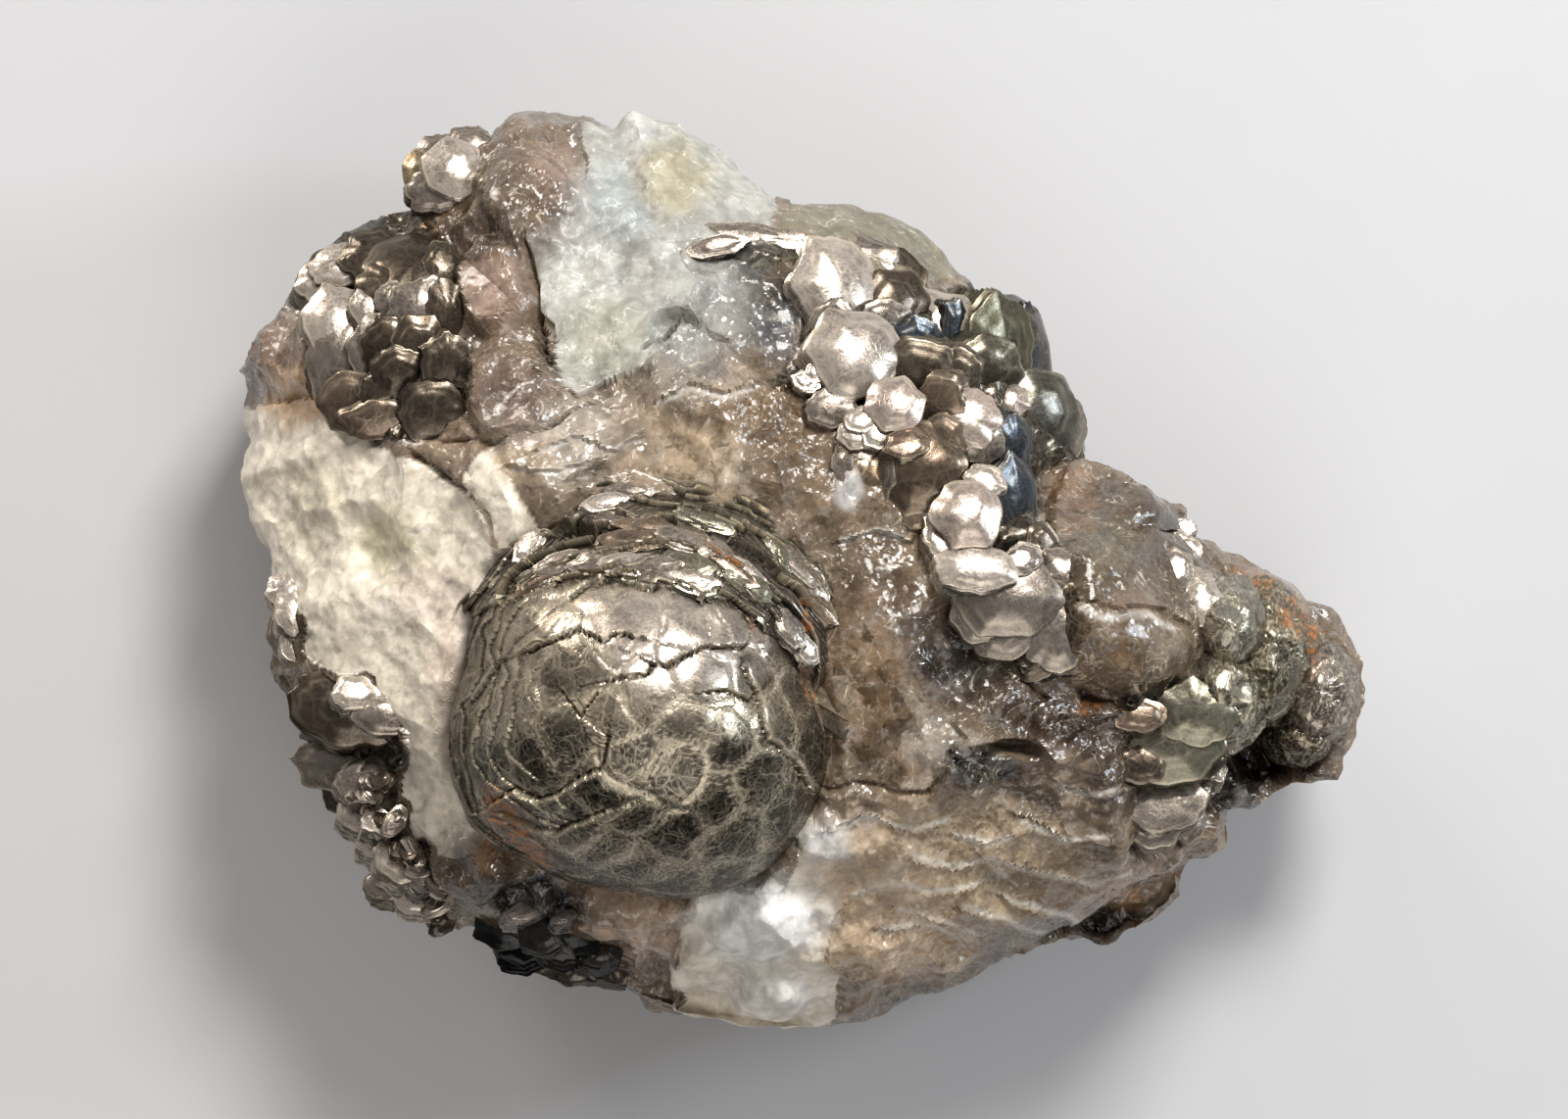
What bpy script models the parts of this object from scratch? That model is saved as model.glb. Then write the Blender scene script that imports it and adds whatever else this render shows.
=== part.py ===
"""A hand specimen of ball muscovite grown with smoky quartz and white albite.

The specimen lies on its flat, broken back with its best face up. +Z is up, +X runs towards the
tapering end, and the origin is on the floor under the middle of the specimen. Lengths are in
millimetres until MM turns them into metres.
"""

import math

import bmesh
import bpy
import numpy as np
from mathutils import Matrix, Vector, noise

MM = 0.001

# Driving dimensions
BALL_TOP = 62.0
BALL_RADII = (19.7, 20.2, 21.5)
BALL_CENTRE = (-16.4, -14.6, BALL_TOP - BALL_RADII[2])
GAP = 0.3
BLOCK_TOP = BALL_TOP + 10

# The rock's outline seen from above, anticlockwise from the tapering end
OUTLINE = [
    (57.6, -12.0), (57.2, -8.6), (54.5, -4.9), (51.5, -4.1), (48.1, 0.0), (45.8, 1.3),
    (40.5, 3.8), (37.8, 8.0), (34.3, 9.7), (29.4, 11.5), (27.8, 17.3), (24.9, 19.7),
    (23.6, 26.3), (17.5, 27.3), (14.3, 32.1), (8.3, 36.1), (0.3, 37.9), (-2.8, 37.9),
    (-7.7, 42.5), (-12.7, 46.1), (-17.4, 47.5), (-19.2, 46.0), (-27.2, 46.8), (-32.2, 45.4),
    (-37.7, 43.6), (-40.3, 40.1), (-39.9, 37.7), (-48.2, 33.3), (-50.0, 29.7), (-55.5, 25.7),
    (-57.6, 21.5), (-56.8, 13.8), (-57.1, 9.3), (-55.1, 0.0), (-54.1, -10.2), (-51.6, -17.3),
    (-47.1, -23.5), (-43.9, -30.2), (-40.0, -34.9), (-32.7, -37.2), (-29.3, -41.3),
    (-24.2, -42.5), (-17.7, -42.3), (-15.5, -45.3), (-6.7, -46.6), (-1.7, -47.5), (5.3, -45.9),
    (11.5, -43.7), (24.3, -38.8), (31.3, -38.2), (39.7, -33.9), (44.9, -27.5), (44.5, -24.9),
    (48.3, -21.8), (55.1, -20.9), (56.7, -16.7),
]
# Height of the rock's widest line, by degrees round the outline
RIM_HEIGHTS = [(0, 22), (40, 19), (70, 18), (95, 23), (130, 25), (180, 24), (230, 21), (300, 20)]
BASE_SHARE = 0.64
FRONT_EDGE_POWER = 4.0
UNDERSIDE_POWER = 0.8

# Broken faces of the front: a point on each, and its slopes in x and y
FRONT_FACES = [
    ((0, 0, 48.0), (0.03, 0.0)),
    ((-30, -2, 46.0), (0.42, 0.05)),
    ((-27, 18, 45.0), (0.38, -0.38)),
    ((-10, 20, 47.0), (0.0, -0.42)),
    ((19, 14, 48.0), (-0.62, -0.43)),
    ((36, -12, 46.0), (-0.75, -0.05)),
    ((10, -23, 47.0), (0.02, 0.55)),
    ((-33, -26, 41.0), (0.5, 0.6)),
    ((-20, -40, 28.0), (0.9, 3.3)),
    ((28, -36.5, 28.0), (-1.3, 3.0)),
    ((47.5, -16, 26.0), (-2.6, 1.0)),
]
FACE_BLEND = 1.1
LEAST_CROWN = 0.5

# Segments and rings of the muscovite lumps' spheres, and how far each sphere is turned about its
# upright axis for every millimetre of its place, so that no two show the same corners
BIG_BALL = (24, 16)
SMALL_BALL = (12, 8)
PLATE = (8, 6)
TURN_BY_PLACE = (0.7, 0.4)
ROOT_MARGIN = 0.01

# The rock's mesh
GRID = 22
EDGE_DENSITY = 0.25
SIDE_RINGS = 5
CHIP_SIZE = 9.0
CHIP_DEPTH = 3.4
CHIP_MIX = 37.7
LUMP_SIZE = 17.0
LUMP_DEPTH = 1.6
LUMP_NOISE = (0.8, 2.0, 2)
RIM_CALM = 0.65
FRONT_CALM_POWER = 8
SIDE_CALM_POWER = 2
MIDDLE_HEIGHT = 22.0
UPRIGHT_STRETCH = 2.0
FLAT_BACK_BLEND = 10.0

# White albite masses: outlines seen from above
ALBITE_LEFT = [
    (-64.0, 16.0), (-51.7, 17.2), (-46.5, 14.0), (-39.9, 12.0), (-32.7, 7.8), (-31.7, 12.1),
    (-26.0, 4.4), (-23.0, 0.0), (-27.0, -8.0), (-32.0, -16.0), (-30.5, -27.5), (-39.6, -27.0),
    (-40.6, -20.4), (-38.6, -17.0), (-41.5, -13.2), (-44.2, -11.0), (-49.7, -8.8),
    (-50.2, -4.0), (-53.0, -1.2), (-64.0, 2.0),
]
ALBITE_TOP = [
    (-21.6, 43.3), (-21.0, 54.0), (-3.4, 52.0), (-3.4, 34.4), (-12.4, 34.2), (-11.6, 30.0),
    (-13.5, 23.2), (-22.9, 18.1), (-25.0, 19.0), (-27.5, 27.0), (-26.3, 33.5),
    (-23.6, 37.5),
]
PALE_RIDGE = [
    (-2.4, 34.4), (-1.5, 46.0), (22.0, 44.0), (22.0, 34.0), (15.8, 28.6), (11.8, 29.8),
    (7.3, 32.4), (1.3, 34.2),
]
ALBITE_FOOT = [
    (-9.5, -33.4), (-1.4, -32.9), (-1.2, -27.0), (4.8, -26.0), (5.3, -32.2), (3.5, -36.0),
    (2.1, -56.0), (-10.0, -56.0), (-12.9, -40.0),
]

# Muscovite masses: outlines seen from above
RIDGE = [
    (-11.2, 33.4), (-5.7, 33.6), (1.0, 33.2), (7.0, 31.4), (11.4, 28.8), (15.6, 27.4),
    (24.5, 33.0), (34.0, 22.0), (34.0, 12.5), (24.3, 10.3), (23.8, 4.3), (28.0, 0.0),
    (28.4, -8.0), (26.5, -11.2), (22.0, -10.4), (16.8, -5.7), (17.3, -1.7), (11.3, 6.8),
    (6.8, 8.3), (3.3, 14.3), (-3.2, 21.0), (0.6, 24.2), (0.0, 30.6), (-10.4, 31.6),
]
CORNER = [
    (-54.0, 30.0), (-47.5, 38.5), (-42.8, 37.6), (-38.2, 35.4), (-36.2, 32.8), (-36.2, 28.3),
    (-33.7, 23.3), (-33.7, 18.3), (-36.2, 13.6), (-44.7, 14.0), (-47.9, 16.2), (-49.9, 18.3),
    (-49.5, 23.3),
]
KNOB = [
    (-42.8, 38.8), (-37.6, 36.6), (-34.7, 38.6), (-33.9, 40.8), (-33.5, 50.0), (-45.0, 48.0),
]
SIDE_FLAKES = [
    (-64.0, 0.9), (-53.4, -2.3), (-51.1, -4.6), (-50.9, -8.6), (-53.0, -9.5), (-64.0, -10.0),
]
SIDE_BOOK = [
    (-60.0, -11.6), (-50.2, -9.8), (-44.6, -12.0), (-42.2, -14.0), (-39.8, -17.2),
    (-41.6, -20.3), (-40.8, -27.6), (-37.6, -28.2), (-37.4, -33.5), (-39.0, -42.0),
    (-54.0, -34.0), (-60.0, -22.0),
]
FOOT = [
    (-33.5, -35.6), (-27.0, -35.2), (-22.0, -36.0), (-17.6, -38.0), (-17.2, -50.0),
    (-33.0, -50.0),
]
RIGHT_PLATES = [
    (33.2, -12.0), (38.5, -10.0), (43.0, -16.0), (43.8, -24.5), (40.5, -28.0),
    (35.0, -27.0), (33.5, -21.0),
]

# Muscovite balls and curved plates: x, y, the radii in x, y and z, and how far each top stands
# over the rock's front face
BALL_LEDGES = [
    (-12.5, -6.0, 17.5, 17.5, 13.0, 7.4),
    (-23.0, 3.8, 7.5, 4.6, 7.0, 3.0),
    (-11.0, 7.0, 8.5, 4.0, 7.0, 3.0),
    (0.2, -2.0, 4.2, 8.0, 7.0, 3.6),
    (-33.0, -26.5, 6.0, 6.5, 8.0, 2.4),
]
RIDGE_DOMES = [
    (3.4, 27.6, 4.6, 5.6, 6.0, 3.4),
    (6.0, 23.2, 5.2, 4.6, 6.0, 4.2),
    (-3.0, 33.0, 8.0, 2.6, 5.0, 1.6),
    (13.8, 26.0, 5.0, 3.4, 6.0, 3.2),
    (20.8, 22.6, 4.6, 5.4, 8.0, 3.6),
    (13.0, 20.4, 6.0, 4.0, 7.0, 2.6),
    (9.6, 17.0, 2.9, 2.9, 6.0, 4.6),
    (16.8, 15.2, 3.1, 3.0, 6.0, 4.8),
    (21.6, 17.6, 1.9, 1.9, 5.0, 4.4),
    (25.6, 15.8, 3.8, 4.6, 8.0, 4.0),
    (13.6, 10.4, 5.4, 4.4, 7.0, 3.4),
    (17.6, 6.4, 3.6, 3.4, 7.0, 5.6),
    (20.6, 9.6, 3.4, 5.0, 7.0, 3.0),
    (17.4, 0.8, 3.8, 3.0, 7.0, 4.6),
    (22.4, -2.6, 4.4, 3.8, 6.0, 2.8),
    (28.4, -1.4, 3.2, 3.0, 6.0, 2.0),
]
CORNER_DOMES = [
    (-46.8, 31.0, 3.2, 3.4, 7.0, 3.4),
    (-42.6, 32.6, 4.6, 3.2, 7.0, 2.4),
    (-37.6, 33.4, 4.8, 4.4, 7.0, 2.6),
    (-46.4, 25.6, 3.6, 4.2, 8.0, 4.6),
    (-43.2, 27.2, 2.6, 3.0, 7.0, 4.4),
    (-40.6, 28.8, 3.0, 2.8, 7.0, 3.6),
    (-38.4, 26.2, 2.9, 3.2, 7.0, 3.8),
    (-42.4, 20.6, 4.4, 3.6, 7.0, 3.0),
    (-37.4, 19.2, 3.4, 4.0, 7.0, 2.0),
]
END_BALL_LUMPS = [
    (41.2, -10.6, 6.6, 9.6, 13.0, 5.4),
    (46.4, -7.0, 4.6, 8.4, 12.0, 6.0),
    (40.2, -1.4, 3.6, 3.2, 8.0, 4.0),
    (38.4, 2.6, 3.0, 3.0, 7.0, 2.6),
]
TIP_BALL_LUMPS = [
    (53.0, -12.2, 4.5, 4.9, 6.0, 5.0),
    (50.2, -8.0, 3.2, 4.0, 6.0, 3.0),
    (50.4, -17.2, 4.6, 3.2, 5.0, 2.0),
]
KNOB_LUMPS = [
    (-36.2, 42.0, 3.6, 3.2, 6.0, 3.0),
    (-38.8, 40.0, 2.2, 3.0, 5.0, 1.6),
]
SIDE_BOOK_LUMPS = [
    (-50.0, -13.0, 3.2, 4.4, 8.0, 2.2),
    (-45.4, -13.6, 4.6, 3.0, 7.0, 2.0),
    (-45.0, -19.0, 5.0, 4.4, 9.0, 1.8),
    (-42.4, -26.0, 4.4, 5.2, 9.0, 2.2),
    (-39.4, -31.4, 4.2, 4.0, 8.0, 2.0),
]
DARK_FOOT_LUMPS = [
    (-26.0, -38.6, 7.0, 4.2, 7.0, 3.0),
    (-31.0, -36.0, 4.2, 3.0, 6.0, 2.0),
]
RIGHT_PLATE_LUMPS = [
    (37.0, -17.0, 5.6, 4.2, 6.0, 2.4),
    (42.0, -19.0, 2.8, 4.0, 6.0, 3.2),
    (37.8, -24.4, 4.2, 3.6, 6.0, 2.0),
]
FLAKE_LUMPS = [
    (-53.4, -3.4, 2.6, 3.2, 6.0, 1.6),
    (-52.2, -6.6, 2.4, 2.4, 6.0, 1.2),
]


def clear_scene():
    for obj in list(bpy.data.objects):
        bpy.data.objects.remove(obj, do_unlink=True)


def material(name, colour, roughness, metallic=0.0):
    """A plain finish for one mineral."""
    made = bpy.data.materials.new(name)
    made.use_nodes = True
    shader = made.node_tree.nodes["Principled BSDF"]
    shader.inputs["Base Color"].default_value = (*colour, 1.0)
    shader.inputs["Roughness"].default_value = roughness
    shader.inputs["Metallic"].default_value = metallic
    return made


def outline_reach(angle):
    """How far the outline is from the middle in this direction."""
    points = np.array(OUTLINE)
    starts, ends = points, np.roll(points, -1, axis=0)
    way = np.array([math.cos(angle), math.sin(angle)])
    edges = ends - starts
    crossing = way[0] * edges[:, 1] - way[1] * edges[:, 0]
    crossing = np.where(np.abs(crossing) < 1e-9, 1e-9, crossing)
    reach = (starts[:, 0] * edges[:, 1] - starts[:, 1] * edges[:, 0]) / crossing
    along = (starts[:, 0] * way[1] - starts[:, 1] * way[0]) / crossing
    hit = (along >= -1e-9) & (along <= 1 + 1e-9) & (reach > 0)
    return float(reach[hit].max())


def rim_height(angle):
    """Height of the widest line in this direction."""
    degrees = math.degrees(angle) % 360
    turns, heights = zip(*RIM_HEIGHTS)
    return float(np.interp(degrees, turns, heights, period=360))


def front_height(x, y):
    """Height of the rock's front face over the floor."""
    angle = math.atan2(y, x)
    share = min(math.hypot(x, y) / outline_reach(angle), 1.0)
    planes = [
        z0 + slope_x * (x - x0) + slope_y * (y - y0)
        for (x0, y0, z0), (slope_x, slope_y) in FRONT_FACES
    ]
    lowest = min(planes)
    spread = sum(math.exp((lowest - plane) / FACE_BLEND) for plane in planes)
    face = lowest - FACE_BLEND * math.log(spread)
    rim = rim_height(angle)
    face = max(face, rim + LEAST_CROWN)
    return rim + (face - rim) * math.sqrt(max(1 - share**FRONT_EDGE_POWER, 0.0))


def underside_point(angle, turn):
    """A point below the widest line: turn runs from 0 at the rim to 90 degrees at the floor."""
    inward = math.cos(turn) ** UNDERSIDE_POWER
    reach = outline_reach(angle) * (BASE_SHARE + (1 - BASE_SHARE) * inward)
    height = rim_height(angle) * (1 - math.sin(turn))
    return reach * math.cos(angle), reach * math.sin(angle), height


def roughen(point, rim_share):
    """Moves a point of the rock's skin in or out, so that the rock breaks into flat chips.

    The widest line keeps its outline: rim_share is 1 there, and 0 well away from it.
    """
    place = Vector(point)
    corner = place / CHIP_SIZE
    nearest = noise.voronoi(corner)[1][0]
    tilt = noise.cell_vector(nearest * CHIP_MIX)
    rise = tilt.dot(corner - nearest) * CHIP_DEPTH
    rise += noise.fractal(place / LUMP_SIZE, *LUMP_NOISE) * LUMP_DEPTH
    upright = (place.z - MIDDLE_HEIGHT) * UPRIGHT_STRETCH
    outward = Vector((place.x, place.y, upright)).normalized()
    depth = (1 - RIM_CALM * rim_share) * min(place.z / FLAT_BACK_BLEND, 1.0)
    moved = place + outward * rise * depth
    moved.z = max(moved.z, 0.0)
    return moved


def disc_place(u, v):
    """Maps a square of side 2 onto a disc: the direction, and the share of the way to the edge."""
    share = max(abs(u), abs(v))
    if share < 1e-6:
        return 0.0, 0.0
    if abs(u) >= abs(v):
        angle = math.pi / 4 * v / u + (math.pi if u < 0 else 0.0)
    else:
        angle = math.pi / 2 - math.pi / 4 * u / v + (math.pi if v < 0 else 0.0)
    return angle, share * (1 + EDGE_DENSITY - EDGE_DENSITY * share**2)


def rock_form(name, collection):
    """The whole rock: a grid bent over the front, its edge drawn down the sides to the flat back."""
    mesh = bpy.data.meshes.new(name)
    shape = bmesh.new()
    bmesh.ops.create_grid(shape, x_segments=GRID, y_segments=GRID, size=1.0)
    for vert in shape.verts:
        angle, share = disc_place(vert.co.x, vert.co.y)
        reach = outline_reach(angle) * share
        x, y = reach * math.cos(angle), reach * math.sin(angle)
        vert.co = roughen((x, y, front_height(x, y)), share**FRONT_CALM_POWER) * MM
    edge_loop = [edge for edge in shape.edges if edge.is_boundary]
    for ring in range(1, SIDE_RINGS + 1):
        turn = ring / SIDE_RINGS * math.pi / 2
        grown = bmesh.ops.extrude_edge_only(shape, edges=edge_loop)["geom"]
        edge_loop = [item for item in grown if isinstance(item, bmesh.types.BMEdge)]
        for vert in {vert for edge in edge_loop for vert in edge.verts}:
            angle = math.atan2(vert.co.y, vert.co.x)
            calm = math.cos(turn) ** SIDE_CALM_POWER
            vert.co = roughen(underside_point(angle, turn), calm) * MM
    bmesh.ops.holes_fill(shape, edges=edge_loop, sides=0)
    bmesh.ops.triangulate(shape, faces=shape.faces)
    bmesh.ops.recalc_face_normals(shape, faces=shape.faces)
    shape.to_mesh(mesh)
    shape.free()
    made = bpy.data.objects.new(name, mesh)
    collection.objects.link(made)
    return made


def grown_outline(outline, grow):
    """The outline with every side moved outwards by grow."""
    points = np.array(outline)
    before, after = np.roll(points, 1, axis=0), np.roll(points, -1, axis=0)
    area = np.sum(points[:, 0] * after[:, 1] - after[:, 0] * points[:, 1])
    way_in, way_out = points - before, after - points
    way_in /= np.linalg.norm(way_in, axis=1, keepdims=True)
    way_out /= np.linalg.norm(way_out, axis=1, keepdims=True)
    turn = np.array([[0.0, -1.0], [1.0, 0.0]]) * np.sign(area)
    first, second = way_in @ turn, way_out @ turn
    corner = first + second
    corner /= np.sum(corner * first, axis=1, keepdims=True)
    return (points + corner * grow).tolist()


def prism(name, outline, low, high, grow, collection):
    """An upright block with this outline, its sides moved outwards by grow."""
    curve = bpy.data.curves.new(name, "CURVE")
    curve.dimensions = "2D"
    curve.fill_mode = "BOTH"
    curve.extrude = (high - low) / 2 * MM
    spline = curve.splines.new("POLY")
    spline.points.add(len(outline) - 1)
    spline.use_cyclic_u = True
    for point, (x, y) in zip(spline.points, grown_outline(outline, grow)):
        point.co = (x * MM, y * MM, 0, 1)
    drawn = bpy.data.objects.new(name + "_curve", curve)
    drawn.location.z = (high + low) / 2 * MM
    collection.objects.link(drawn)
    bpy.context.view_layer.update()
    graph = bpy.context.evaluated_depsgraph_get()
    mesh = bpy.data.meshes.new_from_object(drawn.evaluated_get(graph))
    mesh.transform(drawn.matrix_world)
    bpy.data.objects.remove(drawn)
    shape = bmesh.new()
    shape.from_mesh(mesh)
    bmesh.ops.remove_doubles(shape, verts=shape.verts, dist=0.01 * MM)
    bmesh.ops.recalc_face_normals(shape, faces=shape.faces)
    shape.to_mesh(mesh)
    shape.free()
    made = bpy.data.objects.new(name, mesh)
    collection.objects.link(made)
    return made


def dome(name, centre, radii, grow, detail, collection):
    """A lump of muscovite: a stretched sphere, ended flat at the first ring under its middle."""
    segments, rings = detail
    mesh = bpy.data.meshes.new(name)
    shape = bmesh.new()
    bmesh.ops.create_uvsphere(shape, u_segments=segments, v_segments=rings, radius=1.0)
    root = math.sin(math.pi / rings) + ROOT_MARGIN
    buried = [vert for vert in shape.verts if vert.co.z < -root]
    bmesh.ops.delete(shape, geom=buried, context="VERTS")
    rim = [edge for edge in shape.edges if edge.is_boundary]
    bmesh.ops.holes_fill(shape, edges=rim, sides=0)
    size = Matrix.Diagonal((*((radius + grow) * MM for radius in radii), 1))
    turned = centre[0] * TURN_BY_PLACE[0] + centre[1] * TURN_BY_PLACE[1]
    turn = Matrix.Rotation(turned, 4, "Z")
    place = Matrix.Translation(Vector(centre) * MM) @ size @ turn
    bmesh.ops.transform(shape, matrix=place, verts=shape.verts)
    shape.to_mesh(mesh)
    shape.free()
    made = bpy.data.objects.new(name, mesh)
    collection.objects.link(made)
    return made


def add_boolean(obj, other, operation, solver="EXACT"):
    modifier = obj.modifiers.new(other.name, "BOOLEAN")
    modifier.operation = operation
    modifier.object = other
    modifier.solver = solver


def connected(start):
    """Every corner that edges join to this one."""
    found, waiting = {start}, [start]
    while waiting:
        vert = waiting.pop()
        near = {edge.other_vert(vert) for edge in vert.link_edges} - found
        found |= near
        waiting.extend(near)
    return found


def freeze(obj):
    """Applies the modifiers and leaves a plain mesh."""
    bpy.context.view_layer.update()
    graph = bpy.context.evaluated_depsgraph_get()
    mesh = bpy.data.meshes.new_from_object(obj.evaluated_get(graph))
    obj.modifiers.clear()
    obj.data = mesh


def drop_chips(obj):
    """Keeps the largest body only, where the cuts left small chips loose."""
    shape = bmesh.new()
    shape.from_mesh(obj.data)
    left, bodies = set(shape.verts), []
    while left:
        bodies.append(connected(next(iter(left))))
        left -= bodies[-1]
    chips = set(shape.verts) - max(bodies, key=len)
    bmesh.ops.delete(shape, geom=list(chips), context="VERTS")
    shape.to_mesh(obj.data)
    shape.free()


def lump_group(name, lumps, grow, detail, collection):
    """Overlapping ellipsoids joined into one solid, each radius grown by grow."""
    pieces = []
    for number, (x, y, *radii, stands) in enumerate(lumps):
        z = front_height(x, y) + stands - radii[2]
        label = name if number == 0 else f"{name}_{number}"
        pieces.append(dome(label, (x, y, z), radii, grow, detail, collection))
    return unite(pieces)


def unite(pieces):
    """Joins the pieces into the first one and removes the rest."""
    whole = pieces[0]
    for other in pieces[1:]:
        add_boolean(whole, other, "UNION")
    freeze(whole)
    for other in pieces[1:]:
        bpy.data.objects.remove(other)
    return whole


def main_ball(name, grow, collection):
    """The large ball of curved plates, with the stacked ledges along its upper edge."""
    ball = dome(name, BALL_CENTRE, BALL_RADII, grow, BIG_BALL, collection)
    ledges = lump_group(name + "_ledges", BALL_LEDGES, grow, PLATE, collection)
    return unite([ball, ledges])


def grown_mass(name, rock, outline, low, lumps, cutters, specimen, helpers):
    """What the outline takes out of the rock, with curved plates standing on it."""
    mass = bpy.data.objects.new(name, rock.data.copy())
    specimen.objects.link(mass)
    if lumps:
        plates = lump_group("plates_" + name, lumps, 0.0, PLATE, helpers)
        add_boolean(mass, plates, "UNION", "MANIFOLD")
    block = prism("block_" + name, outline, low, BLOCK_TOP, 0.0, helpers)
    add_boolean(mass, block, "INTERSECT", "MANIFOLD")
    for cutter in cutters:
        add_boolean(mass, cutter, "DIFFERENCE", "MANIFOLD")
    freeze(mass)
    drop_chips(mass)
    return mass


def centre_on_floor(collection):
    """Puts the origin on the floor, under the middle of the specimen."""
    bpy.context.view_layer.update()
    corners = np.array([corner for obj in collection.objects for corner in obj.bound_box])
    low, high = corners.min(axis=0), corners.max(axis=0)
    middle = (low + high) / 2
    shift = Matrix.Translation((-middle[0], -middle[1], -low[2]))
    for obj in collection.objects:
        obj.data.transform(shift)


def main():
    clear_scene()
    specimen = bpy.data.collections.new("muscovite_specimen")
    helpers = bpy.data.collections.new("cutters")
    for collection in (specimen, helpers):
        bpy.context.scene.collection.children.link(collection)
    quartz = material("smoky_quartz", (0.22, 0.17, 0.13), 0.25)
    albite = material("white_albite", (0.80, 0.75, 0.66), 0.6)
    mica = material("muscovite", (0.36, 0.33, 0.28), 0.3, 0.6)
    dark_mica = material("dark_muscovite", (0.05, 0.05, 0.05), 0.3, 0.4)

    main_ball("muscovite_ball", 0.0, specimen).data.materials.append(mica)
    cutters = [main_ball("cut_ball", GAP, helpers)]
    for name, lumps in (("end_ball", END_BALL_LUMPS), ("tip_ball", TIP_BALL_LUMPS)):
        ball = lump_group("muscovite_" + name, lumps, 0.0, SMALL_BALL, specimen)
        add_boolean(ball, cutters[-1], "DIFFERENCE")
        ball.data.materials.append(mica)
        cutters.append(lump_group("cut_" + name, lumps, GAP, SMALL_BALL, helpers))

    rock = rock_form("smoky_quartz", specimen)
    # Each mass: its outline, how far down it reaches, the lumps on it, and its finish
    masses = {
        "albite_left": (ALBITE_LEFT, 9.0, [], albite),
        "albite_top": (ALBITE_TOP, 12.0, [], albite),
        "albite_ridge": (PALE_RIDGE, 9.0, [], albite),
        "albite_foot": (ALBITE_FOOT, 10.0, [], albite),
        "muscovite_ridge": (RIDGE, 16.0, RIDGE_DOMES, mica),
        "muscovite_corner": (CORNER, 16.0, CORNER_DOMES, mica),
        "muscovite_knob": (KNOB, 14.0, KNOB_LUMPS, mica),
        "muscovite_side_flakes": (SIDE_FLAKES, 14.0, FLAKE_LUMPS, mica),
        "muscovite_side_book": (SIDE_BOOK, 12.0, SIDE_BOOK_LUMPS, mica),
        "muscovite_foot": (FOOT, 8.0, DARK_FOOT_LUMPS, dark_mica),
        "muscovite_right_plates": (RIGHT_PLATES, 24.0, RIGHT_PLATE_LUMPS, mica),
    }
    for name, (outline, low, lumps, finish) in masses.items():
        mass = grown_mass(name, rock, outline, low, lumps, cutters, specimen, helpers)
        mass.data.materials.clear()
        mass.data.materials.append(finish)
        pocket = prism("pocket_" + name, outline, low - GAP, BLOCK_TOP, GAP, helpers)
        add_boolean(rock, pocket, "DIFFERENCE", "MANIFOLD")
    for cutter in cutters:
        add_boolean(rock, cutter, "DIFFERENCE", "MANIFOLD")
    freeze(rock)
    drop_chips(rock)
    rock.data.materials.clear()
    rock.data.materials.append(quartz)
    centre_on_floor(specimen)
    for helper in helpers.objects:
        helper.hide_render = True
        helper.display_type = "WIRE"


main()
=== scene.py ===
"""The look of the muscovite specimen: ball muscovite with smoky quartz and white albite.

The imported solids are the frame. Each one is replaced by a dense mesh of the same form, with the
broken faces, curved plates, cracks and stains of the real mineral. Lengths are in millimetres
until MM turns them into metres. +Z is up, +X runs towards the tapering end.
"""

import math

import bpy
import numpy as np
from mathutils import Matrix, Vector


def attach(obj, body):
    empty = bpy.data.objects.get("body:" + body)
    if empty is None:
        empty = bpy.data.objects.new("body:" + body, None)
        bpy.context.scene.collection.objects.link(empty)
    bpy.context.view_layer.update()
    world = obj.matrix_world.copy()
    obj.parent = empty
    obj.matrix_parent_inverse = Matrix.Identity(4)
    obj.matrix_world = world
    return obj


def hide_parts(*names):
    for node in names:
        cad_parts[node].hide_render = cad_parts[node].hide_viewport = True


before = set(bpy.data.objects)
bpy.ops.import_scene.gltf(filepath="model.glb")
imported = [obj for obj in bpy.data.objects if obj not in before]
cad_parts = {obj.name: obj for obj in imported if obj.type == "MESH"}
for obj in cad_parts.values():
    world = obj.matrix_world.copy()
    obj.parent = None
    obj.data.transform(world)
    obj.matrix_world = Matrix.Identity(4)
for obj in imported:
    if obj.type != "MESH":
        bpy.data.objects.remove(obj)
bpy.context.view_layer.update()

MM = 0.001

# The rock's mesh: points across the front, rings of the sides with all and with half of the
# front's points, rings of the flat back, and how much finer the front is towards its edge
FRONT_GRID = 376
FULL_RINGS = 3
HALF_RINGS = 28
BASE_RINGS = 9
EDGE_DENSITY = 0.25
# How wide the flat back is, and how round the underside and the front's edge are
BASE_SHARE = 0.64
UNDERSIDE_POWER = 0.8
FRONT_EDGE_POWER = 4.0
# How softly the front's faces meet, and the least height of the front over its rim
FACE_BLEND = 1.1
LEAST_CROWN = 0.5
# Height of the point that closes each mineral's patch inside the rock
CORE_HEIGHT = 13.0
# Edges sharper than these many degrees stay sharp in the shading
ROCK_CREASE = 26.0
MICA_CREASE = 35.0

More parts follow.
